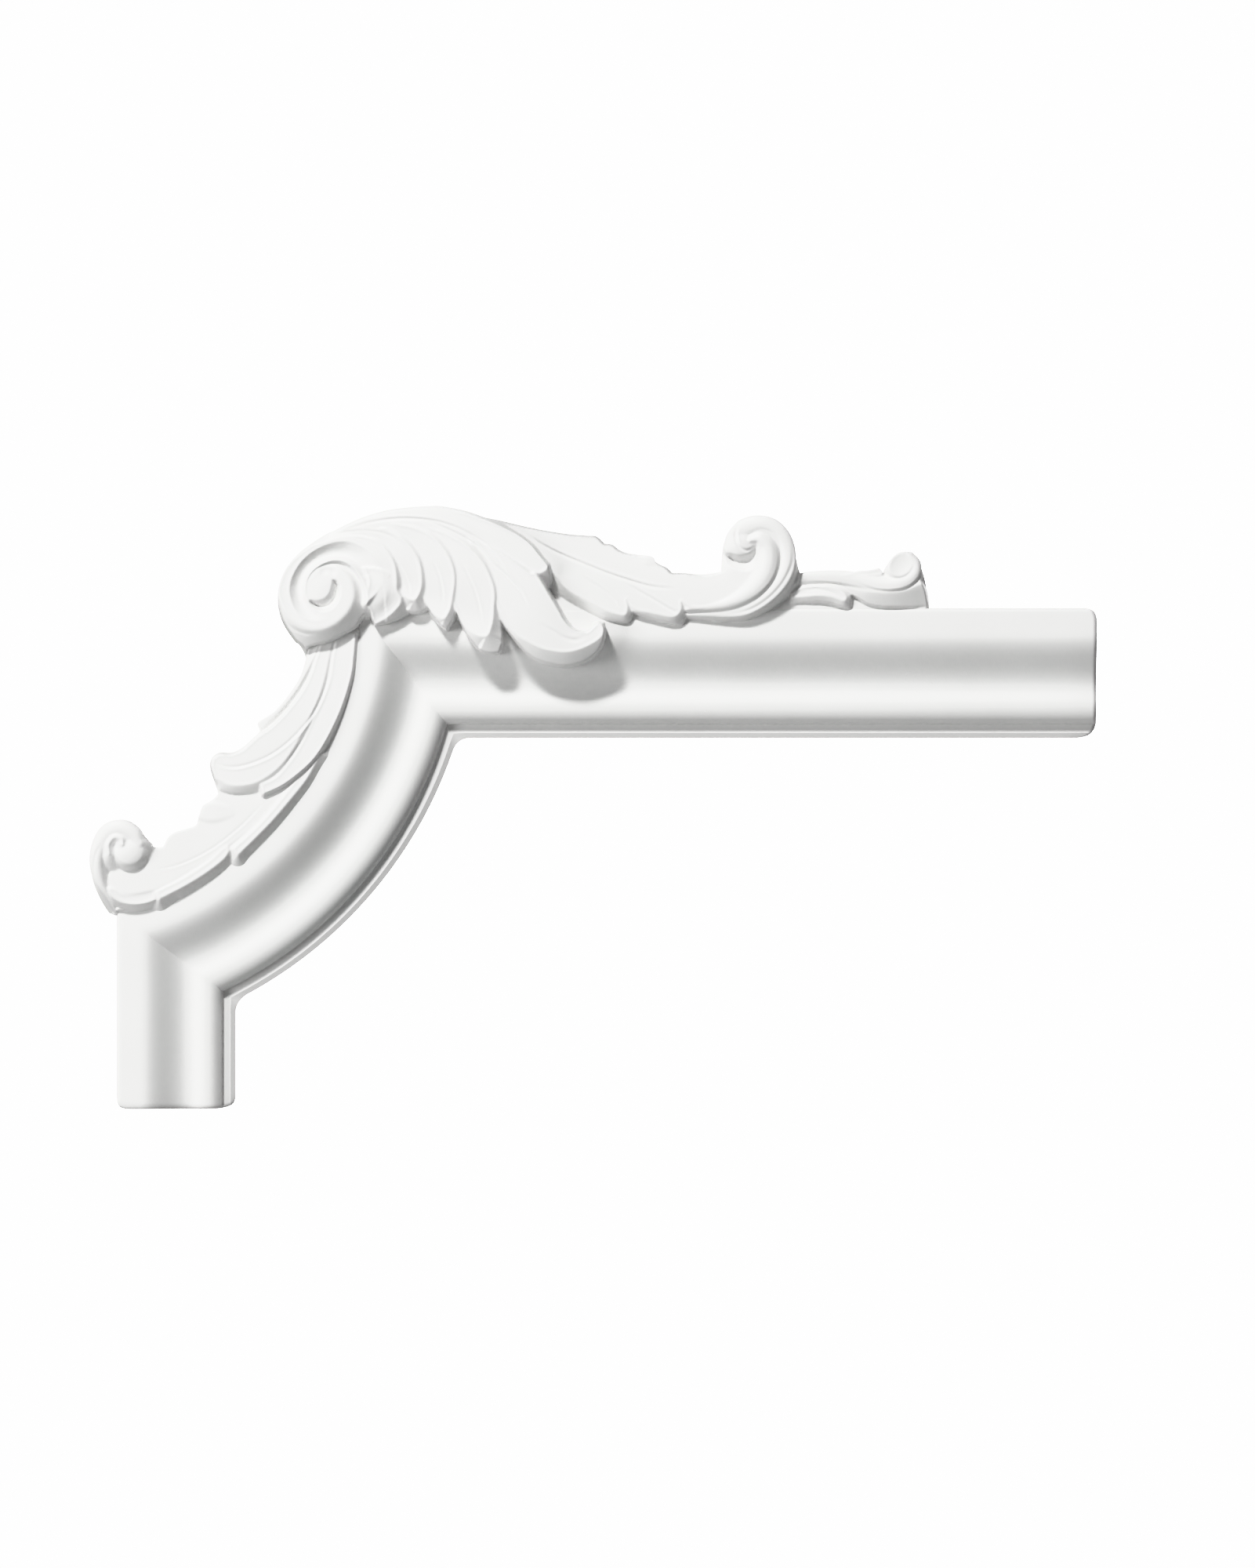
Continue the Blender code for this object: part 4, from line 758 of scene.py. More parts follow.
def big_leaf(relief):
    """The acanthus leaf that fans out from the volute: lobes that lie on each other like scales."""
    relief.lobe([
        [(-46, 59), (-36, 65.6), (-21.5, 72.6), (-7.2, 76.6), (10.8, 78.2), (18, 77.8), (29, 75.4),
         (40, 71), (50, 65.2), (57, 59.8), (61, 52)],
        [(56, 43), (48, 34), (40, 36), (24, 38), (0, 38), (-12, 40)],
        [(-10, 46), (-13, 53), (-18, 58.6), (-25, 62), (-33, 62.4), (-42, 59.4), (-52, 45)],
    ], [
        (-50, 48, 10), (-38, 60, 11.5), (-20, 69, 13), (0, 72.5, 14), (20, 70, 14), (38, 60, 13),
        (50, 50, 11.5),
    ], slope=2.4, roll=3.0, camber=(0.03, 0.0095))
    # Long tip that curls up at its end
    relief.lobe([
        [(40, 58.5), (50, 52), (56.5, 47.4), (59.6, 46.6), (65.8, 36.8), (70, 29.9), (72.8, 25),
         (76.3, 21.6), (80.4, 20.1), (83.2, 20.4), (85.4, 22.4), (87.6, 24.2), (89.8, 23.6)],
        [(90.6, 21.4), (90, 18.6), (87.6, 16), (83.2, 13.4), (78.4, 11.5), (72.8, 10.5), (66.5, 11.1),
         (61, 12.5), (55.4, 15.3), (50.5, 18.1), (47, 22)],
        [(43.5, 28), (40.8, 33.8), (38, 42), (33, 52), (28, 64)],
    ], [
        (30, 62, 13.6), (45, 52, 14.4), (56, 41, 14.4), (63, 30, 13.8), (69, 22, 12.8), (77, 17, 11.6),
        (88, 20, 11.4),
    ], slope=[5, 0.65, 0.9], roll=0.7, camber=(0.01, 0.008), lip=0.3, foot=[
        [(57, 49)],
        [(60.6, 47.4), (66.8, 37.4), (71, 30.4), (73.6, 26), (76.9, 22.6), (80.6, 21.1), (82.8, 21.4),
         (85, 23.5), (87.6, 25.3), (90.4, 24.6)],
        [(91.7, 21.4), (91.4, 17), (89.6, 12.5), (86, 8.3), (80.4, 5.2), (74.2, 3.8), (67.9, 4.1),
         (61, 5.9), (55.4, 9), (50.5, 13.9)],
        [(44, 22)],
        [(24, 60)],
        [(28, 66)],
    ])
    # Back lobe, whose tip hangs over the long leaf
    relief.lobe([
        [(26.2, 75.1), (34.5, 72.3), (41.5, 69.6), (50.5, 65.2), (56.8, 60.5), (61, 55.6), (65.1, 50.2)],
        [(63.7, 48), (59.6, 46.9), (52, 50.6), (45.7, 54.2), (32, 64), (18, 70), (16, 76.4)],
    ], [
        (20, 74, 12.8), (38, 68, 13.4), (52, 60, 13.6), (60, 53, 13.4), (64.4, 49.4, 12.8),
    ], slope=[5, 0.8], roll=0.7, tilt=0.04, lip=0.3, foot=[
        [(26.4, 76), (34.9, 73.2), (42, 70.5), (51, 66.2), (57.5, 61.3), (61.8, 56.2), (65.6, 51.8)],
        [(66.9, 46), (66.3, 42), (64.5, 38.5)],
        [(50, 44)],
        [(14, 68)],
        [(16, 78)],
    ])
    # Four narrow lobes that hang from the stalk outwards, each on top of the next
    relief.lobe([
        [(18, 65.6), (28, 59.6), (35, 52), (39, 44), (40.4, 38), (40.1, 32), (39.6, 25), (38, 19.5)],
        [(36.6, 17.9), (33.8, 17.7), (29.6, 19.5), (26.2, 22.9), (23.4, 27.1), (22.3, 30.2)],
        [(20, 36), (19, 44), (17, 52), (13, 60), (8, 69)],
    ], [
        (8, 68, 13.6), (22, 62.6, 14.6), (32, 54, 14.9), (38, 44, 14.4), (40, 34, 13.2), (39, 24, 11.8),
        (36, 18, 10.8),
    ], slope=[0.95, 0.7, 0.9], roll=0.7, tilt=0.14, lip=0.35, foot=[
        [(30, 68)],
        [(47, 50)],
        [(43.6, 33), (44.6, 18), (44.3, 13.9), (42.9, 9.6)],
        [(37.3, 9.6), (33.1, 11.1), (29.6, 14.6), (26.2, 19.5), (21.8, 29)],
        [(6, 70)],
    ])
    relief.lobe([
        [(4, 68.2), (12, 64), (17, 58.6), (20, 53.4), (21.7, 48), (22, 43), (21.3, 37.5), (19.9, 30.6),
         (17.6, 26.2)],
        [(15.8, 25.7), (12.6, 27.6), (9.8, 30.6)],
        [(6, 36), (5, 44), (3, 52), (-1, 60), (-8, 70.6)],
    ], [
        (-8, 70.4, 13.6), (6, 67, 14.4), (15.6, 60.6, 14.7), (20.4, 51, 14.2), (21.8, 42, 13),
        (20.4, 32, 11.2), (17, 26, 9.8),
    ], slope=[0.95, 0.8, 0.9], roll=0.7, tilt=0.16, lip=0.35, foot=[
        [(16, 70)],
        [(30, 54)],
        [(25.2, 39), (23.6, 33), (22.4, 27), (18.5, 19.5)],
        [(14.3, 22.9), (11.2, 27.1), (8.6, 31.6)],
        [(-10, 71)],
    ])
    relief.lobe([
        [(-12.9, 68.7), (-6.5, 66.1), (-1.1, 62.3), (3.1, 57.5), (5.8, 52.2), (6.8, 46.8), (6.8, 41.5),
         (5.6, 37.5), (3.6, 34.4)],
        [(1, 34.8), (-1.6, 36.4)],
        [(-6, 42), (-7, 50), (-12, 58), (-24, 69)],
    ], [
        (-22, 68.6, 12.8), (-9, 67, 13.8), (0.4, 61, 14.2), (5.4, 53, 13.6), (7, 44, 12.4), (5.6, 37, 11),
        (3, 34, 10.2),
    ], slope=[0.95, 0.9, 0.9], roll=0.7, tilt=0.16, lip=0.35, foot=[
        [(4, 70)],
        [(14, 54)],
        [(11, 39.3), (10.3, 34), (9.8, 30)],
        [(6, 28.2), (1, 28)],
        [(-26, 60)],
        [(-26, 67.5)],
    ])
    relief.lobe([
        [(-30, 64.2), (-19.8, 64.4), (-15, 62.8), (-11.3, 60.2), (-8.1, 56.4), (-5.9, 52.2), (-4.9, 47.4),
         (-4.6, 42.6), (-4.4, 39.3), (-2.6, 36)],
        [(-3, 33), (-6.5, 28.9), (-10.8, 25.6), (-15, 23.4)],
        [(-16.2, 26), (-16.8, 29), (-18.6, 32.4), (-19, 36), (-18, 44), (-21, 51), (-27, 57), (-40, 61)],
    ], [
        (-36, 62, 11.8), (-22, 63.6, 12.8), (-12, 60, 13.4), (-6.4, 51, 12.9), (-5, 43, 11.9),
        (-4, 36, 10.2), (-6, 30, 8), (-13, 25.4, 6.6), (-14.5, 32, 9.6), (-12, 38, 11.6), (-9, 44, 12.5),
    ], slope=[0.95, 0.9, 1.2], roll=0.7, tilt=0.06, lip=0.35, foot=[
        [(-26, 66)],
        [(4, 60)],
        [(1.6, 34)],
        [(1.2, 28.2)],
        [(-3.8, 25.5), (-9.1, 23.3), (-15.4, 22.6)],
        [(-17, 26), (-18, 29.4), (-22, 34)],
        [(-30, 50)],
        [(-41, 60)],
    ])
    # Veins
    relief.vein([(11.6, 53), (14.3, 47.3), (16.1, 40), (16.4, 33)], 0.45, 0.4)
    relief.vein([(25, 52), (28, 46.5), (31, 39.6), (33.1, 32), (34.5, 24)], 0.45, 0.4)
    relief.vein([(-8, 57), (-3, 50), (0.6, 42), (1, 36)], 0.45, 0.3)
    relief.vein([
        (-30, 66.5), (-18, 70.4), (-4, 72.3), (10.2, 71.6), (20.6, 68.9), (29.6, 64.7), (35.9, 59.8),
        (41.5, 54.2), (46.5, 46),
    ], 0.55, 0.7)
    relief.vein([
        (6, 71.4), (13.6, 69.6), (24.1, 64.7), (31.7, 59.8), (38.7, 52.2), (44.3, 47.3), (51.9, 38.9),
        (56, 31),
    ], 0.55, 0.8)
    relief.vein([(-38, 63), (-28, 66.2), (-16, 66.6), (-8, 64.4), (-2, 60)], 0.45, 0.3)
    relief.vein([(60, 24.5), (66.5, 20.8), (72, 17.6), (77, 16.4), (82, 17.6)], 0.9, 0.35)


def quarter_round(start, end, steps, upright_first):
    """A quarter of an ellipse that leaves upright and arrives level, or the other way round."""
    angle = 0.5 * math.pi * np.arange(1, steps + 1) / steps
    first, second = 1 - np.cos(angle), np.sin(angle)
    across, up = (first, second) if upright_first else (second, first)
    return list(zip(start[0] + (end[0] - start[0]) * across, start[1] + (end[1] - start[1]) * up))


def step_between(start, end, steps):
    """Half a wave from a crest to a trough or back, without its first point."""
    share = np.arange(1, steps + 1) / steps
    lift = 0.5 - 0.5 * np.cos(math.pi * share)
    return list(zip(start[0] + (end[0] - start[0]) * share, start[1] + (end[1] - start[1]) * lift))


def line_to(start, end, steps):
    share = np.arange(1, steps + 1) / steps
    return list(zip(start[0] + (end[0] - start[0]) * share, start[1] + (end[1] - start[1]) * share))


def section():
    """The moulding's section, closed along its back: places from the inner edge, and heights."""
    points = [(0.0, 0.0), (0.0, FILLET_HEIGHT - INNER_CHAMFER[1])]
    points += line_to(points[-1], (INNER_CHAMFER[0], FILLET_HEIGHT), CHAMFER_STEPS)
    points += line_to(points[-1], (FILLET_WIDTH, FILLET_HEIGHT), FILLET_STEPS)
    points += quarter_round(points[-1], (BEAD_PLACE, BEAD_HEIGHT), BEAD_STEPS, True)
    points += step_between(points[-1], (COVE_PLACE, COVE_HEIGHT), COVE_STEPS)
    points += step_between(points[-1], (CREST_PLACE, PROJECTION), SLOPE_STEPS)
    points += line_to(points[-1], (LONG_ARM_WIDTH - OUTER_EDGE_RADIUS, PROJECTION), CREST_STEPS)
    points += quarter_round(points[-1], (LONG_ARM_WIDTH, PROJECTION - OUTER_EDGE_RADIUS), EDGE_STEPS, False)
    points += line_to(points[-1], (LONG_ARM_WIDTH, 0.0), SIDE_STEPS)
    points += line_to(points[-1], (0.0, 0.0), BACK_STEPS)
    return points


def mitres():
    """Inner and outer corner of both mitres, upper one first, as places on the front."""
    inner_z = LONG_ARM_OUTER_Z - LONG_ARM_WIDTH
    inner_x = SHORT_ARM_OUTER_X + SHORT_ARM_WIDTH
    corners = []
    for radius, z in ((ARC_RADIUS, inner_z), (ARC_RADIUS - ARC_WIDTH_UPPER, LONG_ARM_OUTER_Z)):
        corners.append((ARC_CENTRE[0] + math.sqrt(radius**2 - (z - ARC_CENTRE[1]) ** 2), z))
    for radius, x in ((ARC_RADIUS, inner_x), (ARC_RADIUS - ARC_WIDTH_LOWER, SHORT_ARM_OUTER_X)):
        corners.append((x, ARC_CENTRE[1] - math.sqrt(radius**2 - (x - ARC_CENTRE[0]) ** 2)))
    return np.array(corners).reshape(2, 2, 2)


def inner_rail(way):
    """A place on the inner edge: way -1 is the long arm's end, 0 to 1 the arc, 2 the short arm's end."""
    upper, lower = mitres()[:, 0]
    start, end = (math.atan2(p[1] - ARC_CENTRE[1], p[0] - ARC_CENTRE[0]) for p in (upper, lower))
    turn = start + (end - start) * min(max(way, 0), 1)
    x = ARC_CENTRE[0] + ARC_RADIUS * math.cos(turn)
    z = ARC_CENTRE[1] + ARC_RADIUS * math.sin(turn)
    x += (LONG_ARM_END_X - x) * max(-way, 0)
    z += (SHORT_ARM_END_Z - z) * max(way - 1, 0)
    return np.array((x, z))


def stations():
    """Rows of way, inset and corner filling (x, z) for every station along the moulding."""
    angle = np.linspace(0, 0.5 * math.pi, END_STEPS + 1)
    insets = [(0, 0.5 * LONG_ARM_WIDTH), (0, END_ROUNDING + END_MARGIN)]
    insets += list(zip(END_ROUNDING * (1 - np.cos(angle)), END_ROUNDING * (1 - np.sin(angle))))
    long_arm, short_arm = (np.hypot(*(inner_rail(a) - inner_rail(b))) for a, b in ((-1, 0), (2, 1)))
    arc = ARC_RADIUS * ARC_TURN
    rows = [(-1 + distance / long_arm, inset, 0, 0) for distance, inset in insets]
    rows += [(way, 0, 0, 0) for way in np.linspace(-1, 0, LONG_ARM_ROWS)[1:-1]]
    for corner, before, after in ((0, long_arm, arc), (1, arc, short_arm)):
        first, last = corner - CORNER_SPAN / before, corner + CORNER_SPAN / after
        a, b, c = inner_rail(first), inner_rail(corner), inner_rail(last)
        for u in np.linspace(0, 1, CORNER_ROWS):
            way = first + (corner - first) * 2 * u if u < 0.5 else corner + (last - corner) * (2 * u - 1)
            rounded = (1 - u) ** 2 * a + 2 * u * (1 - u) * b + u**2 * c
            rows.append((way, 0, *(rounded - inner_rail(way))))
        if corner == 0:
            # The rows nearest the corners give way to the corners' own
            rows += [(way, 0, 0, 0) for way in np.linspace(0, 1, ARC_ROWS)[3:-3]]
    rows += [(way, 0, 0, 0) for way in np.linspace(1, 2, SHORT_ARM_ROWS)[2:-1]]
    rows += [(2 - distance / short_arm, inset, 0, 0) for distance, inset in reversed(insets)]
    return rows


class Sum:
    """An output of a Geometry Nodes tree that can be added, multiplied and compared."""

    def __init__(self, tree, socket):
        self.tree = tree
        self.socket = socket

    def __add__(self, other):
        return self.tree.math("ADD", self, other)

    def __sub__(self, other):
        return self.tree.math("SUBTRACT", self, other)

    def __rsub__(self, other):
        return self.tree.math("SUBTRACT", other, self)

    def __mul__(self, other):
        return self.tree.math("MULTIPLY", self, other)

    def __truediv__(self, other):
        return self.tree.math("DIVIDE", self, other)

    def towards(self, other, share):
        return self + (other - self) * share


class LoftTree:
    """Writes a Geometry Nodes tree, one short call for each node."""

    def __init__(self, name):
        self.tree = bpy.data.node_groups.new(name, "GeometryNodeTree")
        self.tree.interface.new_socket("Stations", in_out="INPUT", socket_type="NodeSocketGeometry")
        self.tree.interface.new_socket("Moulding", in_out="OUTPUT", socket_type="NodeSocketGeometry")
        self.group_input = self.tree.nodes.new("NodeGroupInput")
        self.group_output = self.tree.nodes.new("NodeGroupOutput")
        self.values = {}

    def size(self, name, value, kind="NodeSocketFloat"):
        """A named input of the tree, and the value that the modifier gives it."""
        socket = self.tree.interface.new_socket(name, in_out="INPUT", socket_type=kind)
        self.values[socket.identifier] = value
        return Sum(self, self.group_input.outputs[name])

    def node(self, kind, inputs, output=0, **settings):
        node = self.tree.nodes.new(kind)
        for key, value in settings.items():
            setattr(node, key, value)
        for key, value in inputs.items():
            feed(self.tree, node.inputs[key], value.socket if isinstance(value, Sum) else value)
        return Sum(self, node.outputs[output])

    def math(self, operation, *values):
        return self.node("ShaderNodeMath", dict(enumerate(values)), operation=operation)


def rounded_end(loft, end, share, name, corners, way):
    """Where an arm ends at each place across it, with both its corners rounded as quarters of an ellipse."""
    inner, outer = corners
    for side, (length, width), from_edge in (("Inner", inner, share), ("Outer", outer, 1.0 - share)):
        along = loft.size(f"{name} {side} Corner Length", length * way)
        across = loft.size(f"{name} {side} Corner Width", width / LONG_ARM_WIDTH)
        near = loft.math("MAXIMUM", 1.0 - from_edge / across, 0.0)
        end = end - along * (1.0 - loft.math("SQRT", 1.0 - near * near))
    return end


def loft_tree(profile, front, back):
    """The rule of the moulding: its section carried from station to station round the two mitres."""
    loft = LoftTree("moulding loft")
    (upper_inner, upper_outer), (lower_inner, lower_outer) = mitres()
    width = loft.size("Long Arm Width", LONG_ARM_WIDTH)
    slim = loft.size("Short Arm Share", SHORT_ARM_WIDTH / LONG_ARM_WIDTH)
    centre = [loft.size("Arc Centre " + axis, value) for axis, value in zip("XZ", ARC_CENTRE)]
    long_end = loft.size("Long Arm End X", LONG_ARM_END_X)
    short_end = loft.size("Short Arm End Z", SHORT_ARM_END_Z)
    corner_reach = loft.size("Corner Rounding Reach", CORNER_FADE)
    section_points = loft.size("Section", profile, "NodeSocketObject")
    section_mesh = loft.node("GeometryNodeObjectInfo", {"Object": section_points}, "Geometry")
    station_mesh = Sum(loft, loft.group_input.outputs["Stations"])
    count = loft.node("GeometryNodeAttributeDomainSize", {"Geometry": section_mesh}, "Point Count")
    stops = loft.node("GeometryNodeAttributeDomainSize", {"Geometry": station_mesh}, "Point Count")
    grid = loft.node("GeometryNodeMeshGrid", {"Vertices X": stops, "Vertices Y": count}, "Mesh")

    index = loft.node("GeometryNodeInputIndex", {})
    stop = loft.math("FLOOR", (index + 0.5) / count)
    point = index - stop * count
    position = loft.node("GeometryNodeInputPosition", {})

    def sampled(geometry, value, place):
        inputs = {"Geometry": geometry, "Value": value, "Index": place}
        found = loft.node("GeometryNodeSampleIndex", inputs, data_type="FLOAT_VECTOR")
        split = loft.node("ShaderNodeSeparateXYZ", {0: found}).socket.node
        return [Sum(loft, output) for output in split.outputs]

    filling = loft.node("GeometryNodeInputNamedAttribute", {"Name": "filling"}, data_type="FLOAT_VECTOR")
    way, inset, _ = sampled(station_mesh, position, stop)
    fill_x, _, fill_z = sampled(station_mesh, filling, stop)
    place, height, _ = sampled(section_mesh, position, point)
    place = loft.math("MAXIMUM", inset, loft.math("MINIMUM", place, width - inset))
    height = loft.math("MAXIMUM", height - inset, 0.0)
    share = place / width

    # Both mitres are straight: the radius and angle on each, and the stations turned between them
    turned = []
    for inner, outer, name in ((upper_inner, upper_outer, "Upper"), (lower_inner, lower_outer, "Lower")):
        across = []
        for axis in (0, 1):
            start = loft.size(f"{name} Mitre Inner {'XZ'[axis]}", float(inner[axis]))
            end = loft.size(f"{name} Mitre Outer {'XZ'[axis]}", float(outer[axis]))
            across.append(start.towards(end, share) - centre[axis])
        radius = loft.math("SQRT", across[0] * across[0] + across[1] * across[1])
        turned.append((radius, loft.math("ARCTAN2", across[1], across[0])))
    part = loft.math("MINIMUM", loft.math("MAXIMUM", way, 0.0), 1.0)
    radius = turned[0][0].towards(turned[1][0], part)
    turn = turned[0][1].towards(turned[1][1], part)
    x = centre[0] + radius * loft.math("COSINE", turn)
    z = centre[1] + radius * loft.math("SINE", turn)
    long_end = rounded_end(loft, long_end, share, "Long End", LONG_END_CORNERS, 1)
    short_end = rounded_end(loft, short_end, share, "Short End", SHORT_END_CORNERS, -1)
    x = x.towards(long_end, loft.math("MAXIMUM", way * -1.0, 0.0))
    z = z.towards(short_end, loft.math("MAXIMUM", way - 1.0, 0.0))
    near = loft.math("MAXIMUM", 1.0 - share / corner_reach, 0.0)
    x = x + fill_x * near
    z = z + fill_z * near
    height = height * (1.0 - part * (1.0 - slim))
    where = loft.node("ShaderNodeCombineXYZ", {"X": x * MM, "Y": height * -MM, "Z": z * MM})

    placed = loft.node("GeometryNodeSetPosition", {"Geometry": grid, "Position": where})
    outwards = loft.node("GeometryNodeFlipFaces", {"Mesh": placed})
    closed = loft.node("GeometryNodeMergeByDistance", {"Geometry": outwards, "Distance": WELD})
    smooth = loft.node("GeometryNodeSetShadeSmooth", {"Geometry": closed})
    real = loft.node("GeometryNodeRealizeInstances", {"Geometry": smooth})
    coated = loft.node("GeometryNodeSetMaterial", {"Geometry": real, "Material": front})
    facing = loft.node("ShaderNodeSeparateXYZ", {0: loft.node("GeometryNodeInputNormal", {})}, "Y")
    behind = loft.math("GREATER_THAN", facing, BACK_FACING)
    bare = loft.node("GeometryNodeSetMaterial", {"Geometry": coated, "Selection": behind, "Material": back})
    loft.tree.links.new(bare.socket, loft.group_output.inputs["Moulding"])
    return loft


def moulding(front, back):
    """The plain moulding as a mesh, worked out by the loft tree."""
    rows = stations()
    profile_mesh = bpy.data.meshes.new("section")
    profile_mesh.from_pydata([(place, height, 0) for place, height in section()], [], [])
    profile = add_object("section", profile_mesh)
    station_mesh = bpy.data.meshes.new("stations")
    station_mesh.from_pydata([(way, inset, 0) for way, inset, _, _ in rows], [], [])
    filling = station_mesh.attributes.new("filling", "FLOAT_VECTOR", "POINT")
    filling.data.foreach_set("vector", [value for _, _, x, z in rows for value in (x, 0.0, z)])
    helper = add_object("stations", station_mesh)
    loft = loft_tree(profile, front, back)
    modifier = helper.modifiers.new("loft", "NODES")
    modifier.node_group = loft.tree
    for identifier, value in loft.values.items():
        modifier[identifier] = value
    graph = bpy.context.evaluated_depsgraph_get()
    made = helper.evaluated_get(graph)
    mesh = bpy.data.meshes.new_from_object(made, preserve_all_data_layers=True, depsgraph=graph)
    helper.modifiers.clear()
    for item in (profile, helper):
        bpy.data.objects.remove(item)
    mesh.set_sharp_from_angle(angle=MOULDING_SHARP)
    mesh.name = "moulding"
    return add_object("moulding", mesh)


def moulding_height(x, z):
    """Height of the plain moulding's face at places on the front, and below zero outside it."""
    place, height = np.array(section()[:-BACK_STEPS]).T
    (upper_inner, upper_outer), (lower_inner, lower_outer) = mitres()
    along = z - (LONG_ARM_OUTER_Z - LONG_ARM_WIDTH)
    radius = np.hypot(x - ARC_CENTRE[0], z - ARC_CENTRE[1])
    turn = np.arctan2(z - ARC_CENTRE[1], x - ARC_CENTRE[0])
    first = math.atan2(upper_inner[1] - ARC_CENTRE[1], upper_inner[0] - ARC_CENTRE[0])
    last = math.atan2(lower_inner[1] - ARC_CENTRE[1], lower_inner[0] - ARC_CENTRE[0])
    part = np.clip((turn - first) / (last - first), 0, 1)
    width = ARC_WIDTH_UPPER + (ARC_WIDTH_LOWER - ARC_WIDTH_UPPER) * part
    across = (ARC_RADIUS - radius) / width * LONG_ARM_WIDTH
    rise = (upper_outer[1] - upper_inner[1]) / (upper_outer[0] - upper_inner[0])
    on_arm = x > upper_inner[0] + (z - upper_inner[1]) / rise
    where = np.where(on_arm, along, across)
    scale = np.where(on_arm, 1, 1 + (SHORT_ARM_WIDTH / LONG_ARM_WIDTH - 1) * part)
    return np.interp(where, place, height, left=BARE_WALL, right=BARE_WALL) * scale


class CellOutline:
    """The cells of a grid where a level is above zero, with those at its edge cut along the zero line."""

    NEAREST_CUT = 0.08

    def __init__(self, relief, level):
        self.level = level
        self.values = (*np.meshgrid(relief.x, relief.z), relief.height)
        self.vertices = []
        self.index = {}
        self.faces = []
        rows = np.maximum(level[:-1], level[1:])
        for j, i in zip(*np.nonzero(np.maximum(rows[:, :-1], rows[:, 1:]) > 0)):
            self.add_cell([(j, i), (j, i + 1), (j + 1, i + 1), (j + 1, i)])

    def add_cell(self, corners):
        face = []
        for here, there in zip(corners, corners[1:] + corners[:1]):
            if self.level[here] > 0:
                face.append(self.vertex(here, here))
            if (self.level[here] > 0) != (self.level[there] > 0):
                face.append(self.vertex(*sorted((here, there))))
        self.faces.append(face)

    def vertex(self, here, there):
        """The number of the vertex at a corner, or where the zero line crosses between two corners."""
        if (here, there) not in self.index:
            share = 0.0
            if here != there:
                share = self.level[here] / (self.level[here] - self.level[there])
                share = min(max(share, self.NEAREST_CUT), 1 - self.NEAREST_CUT)
            self.index[here, there] = len(self.vertices)
            self.vertices.append([grid[here] + (grid[there] - grid[here]) * share for grid in self.values])
        return self.index[here, there]


def carving(name, box, elements, back_height, front, back):
    """Part of the carving as a closed body: its face, upright walls along its outline and a flat back."""
    relief = Relief(*box, CARVING_CELL)
    for element in elements:
        element(relief)
    relief.soften()
    x, z = np.meshgrid(relief.x, relief.z)
    under = moulding_height(x, z)
    covered = smooth_max(relief.footprint, np.where(under > 0, MOULDING_INSET, -PROJECTION), MEETING)
    level = np.minimum(covered, relief.height - np.maximum(under - HIDDEN_DEPTH, CARVING_FLOOR) - LEAST_RISE)
    cells = CellOutline(relief, level)
    shape = bmesh.new()
    for x, z, height in cells.vertices:
        shape.verts.new((x * MM, -max(height, LEAST_DEPTH) * MM, z * MM))
    shape.verts.ensure_lookup_table()
    for face in cells.faces:
        shape.faces.new([shape.verts[i] for i in face])
    rim = [edge for edge in shape.edges if edge.is_boundary]
    walls = bmesh.ops.extrude_edge_only(shape, edges=rim)["geom"]
    for part in walls:
        if isinstance(part, bmesh.types.BMVert):
            part.co.y = -back_height * MM
    below = [part for part in walls if isinstance(part, bmesh.types.BMEdge) and part.is_boundary]
    bmesh.ops.triangle_fill(shape, use_beauty=False, use_dissolve=False, edges=below)
    bmesh.ops.recalc_face_normals(shape, faces=shape.faces)
    mesh = bpy.data.meshes.new(name)
    shape.to_mesh(mesh)
    shape.free()
    for material in (front, back):
        mesh.materials.append(material)
    for face in mesh.polygons:
        face.use_smooth = True
        face.material_index = int(face.normal.y > BACK_FACING)
    mesh.set_sharp_from_angle(angle=CARVING_SHARP)
    return add_object(name, mesh)


def noise(tree, coordinates, scale, detail):
    """A noise texture, with its scale in waves for each metre."""
    node = tree.nodes.new("ShaderNodeTexNoise")
    for name, value in (("Vector", coordinates), ("Scale", scale), ("Detail", detail)):
        feed(tree, node.inputs[name], value)
    return node.outputs["Fac"]


def spread(tree, value, low, high, start=0.0, end=1.0):
    """A value brought from one range to another, and kept in it."""
    node = tree.nodes.new("ShaderNodeMapRange")
    names = ("Value", "From Min", "From Max", "To Min", "To Max")
    for name, number in zip(names, (value, low, high, start, end)):
        feed(tree, node.inputs[name], number)
    return node.outputs["Result"]


def combine(tree, operation, first, second):
    node = tree.nodes.new("ShaderNodeMath")
    node.operation = operation
    for socket, value in zip(node.inputs, (first, second)):
        feed(tree, socket, value)
    return node.outputs["Value"]


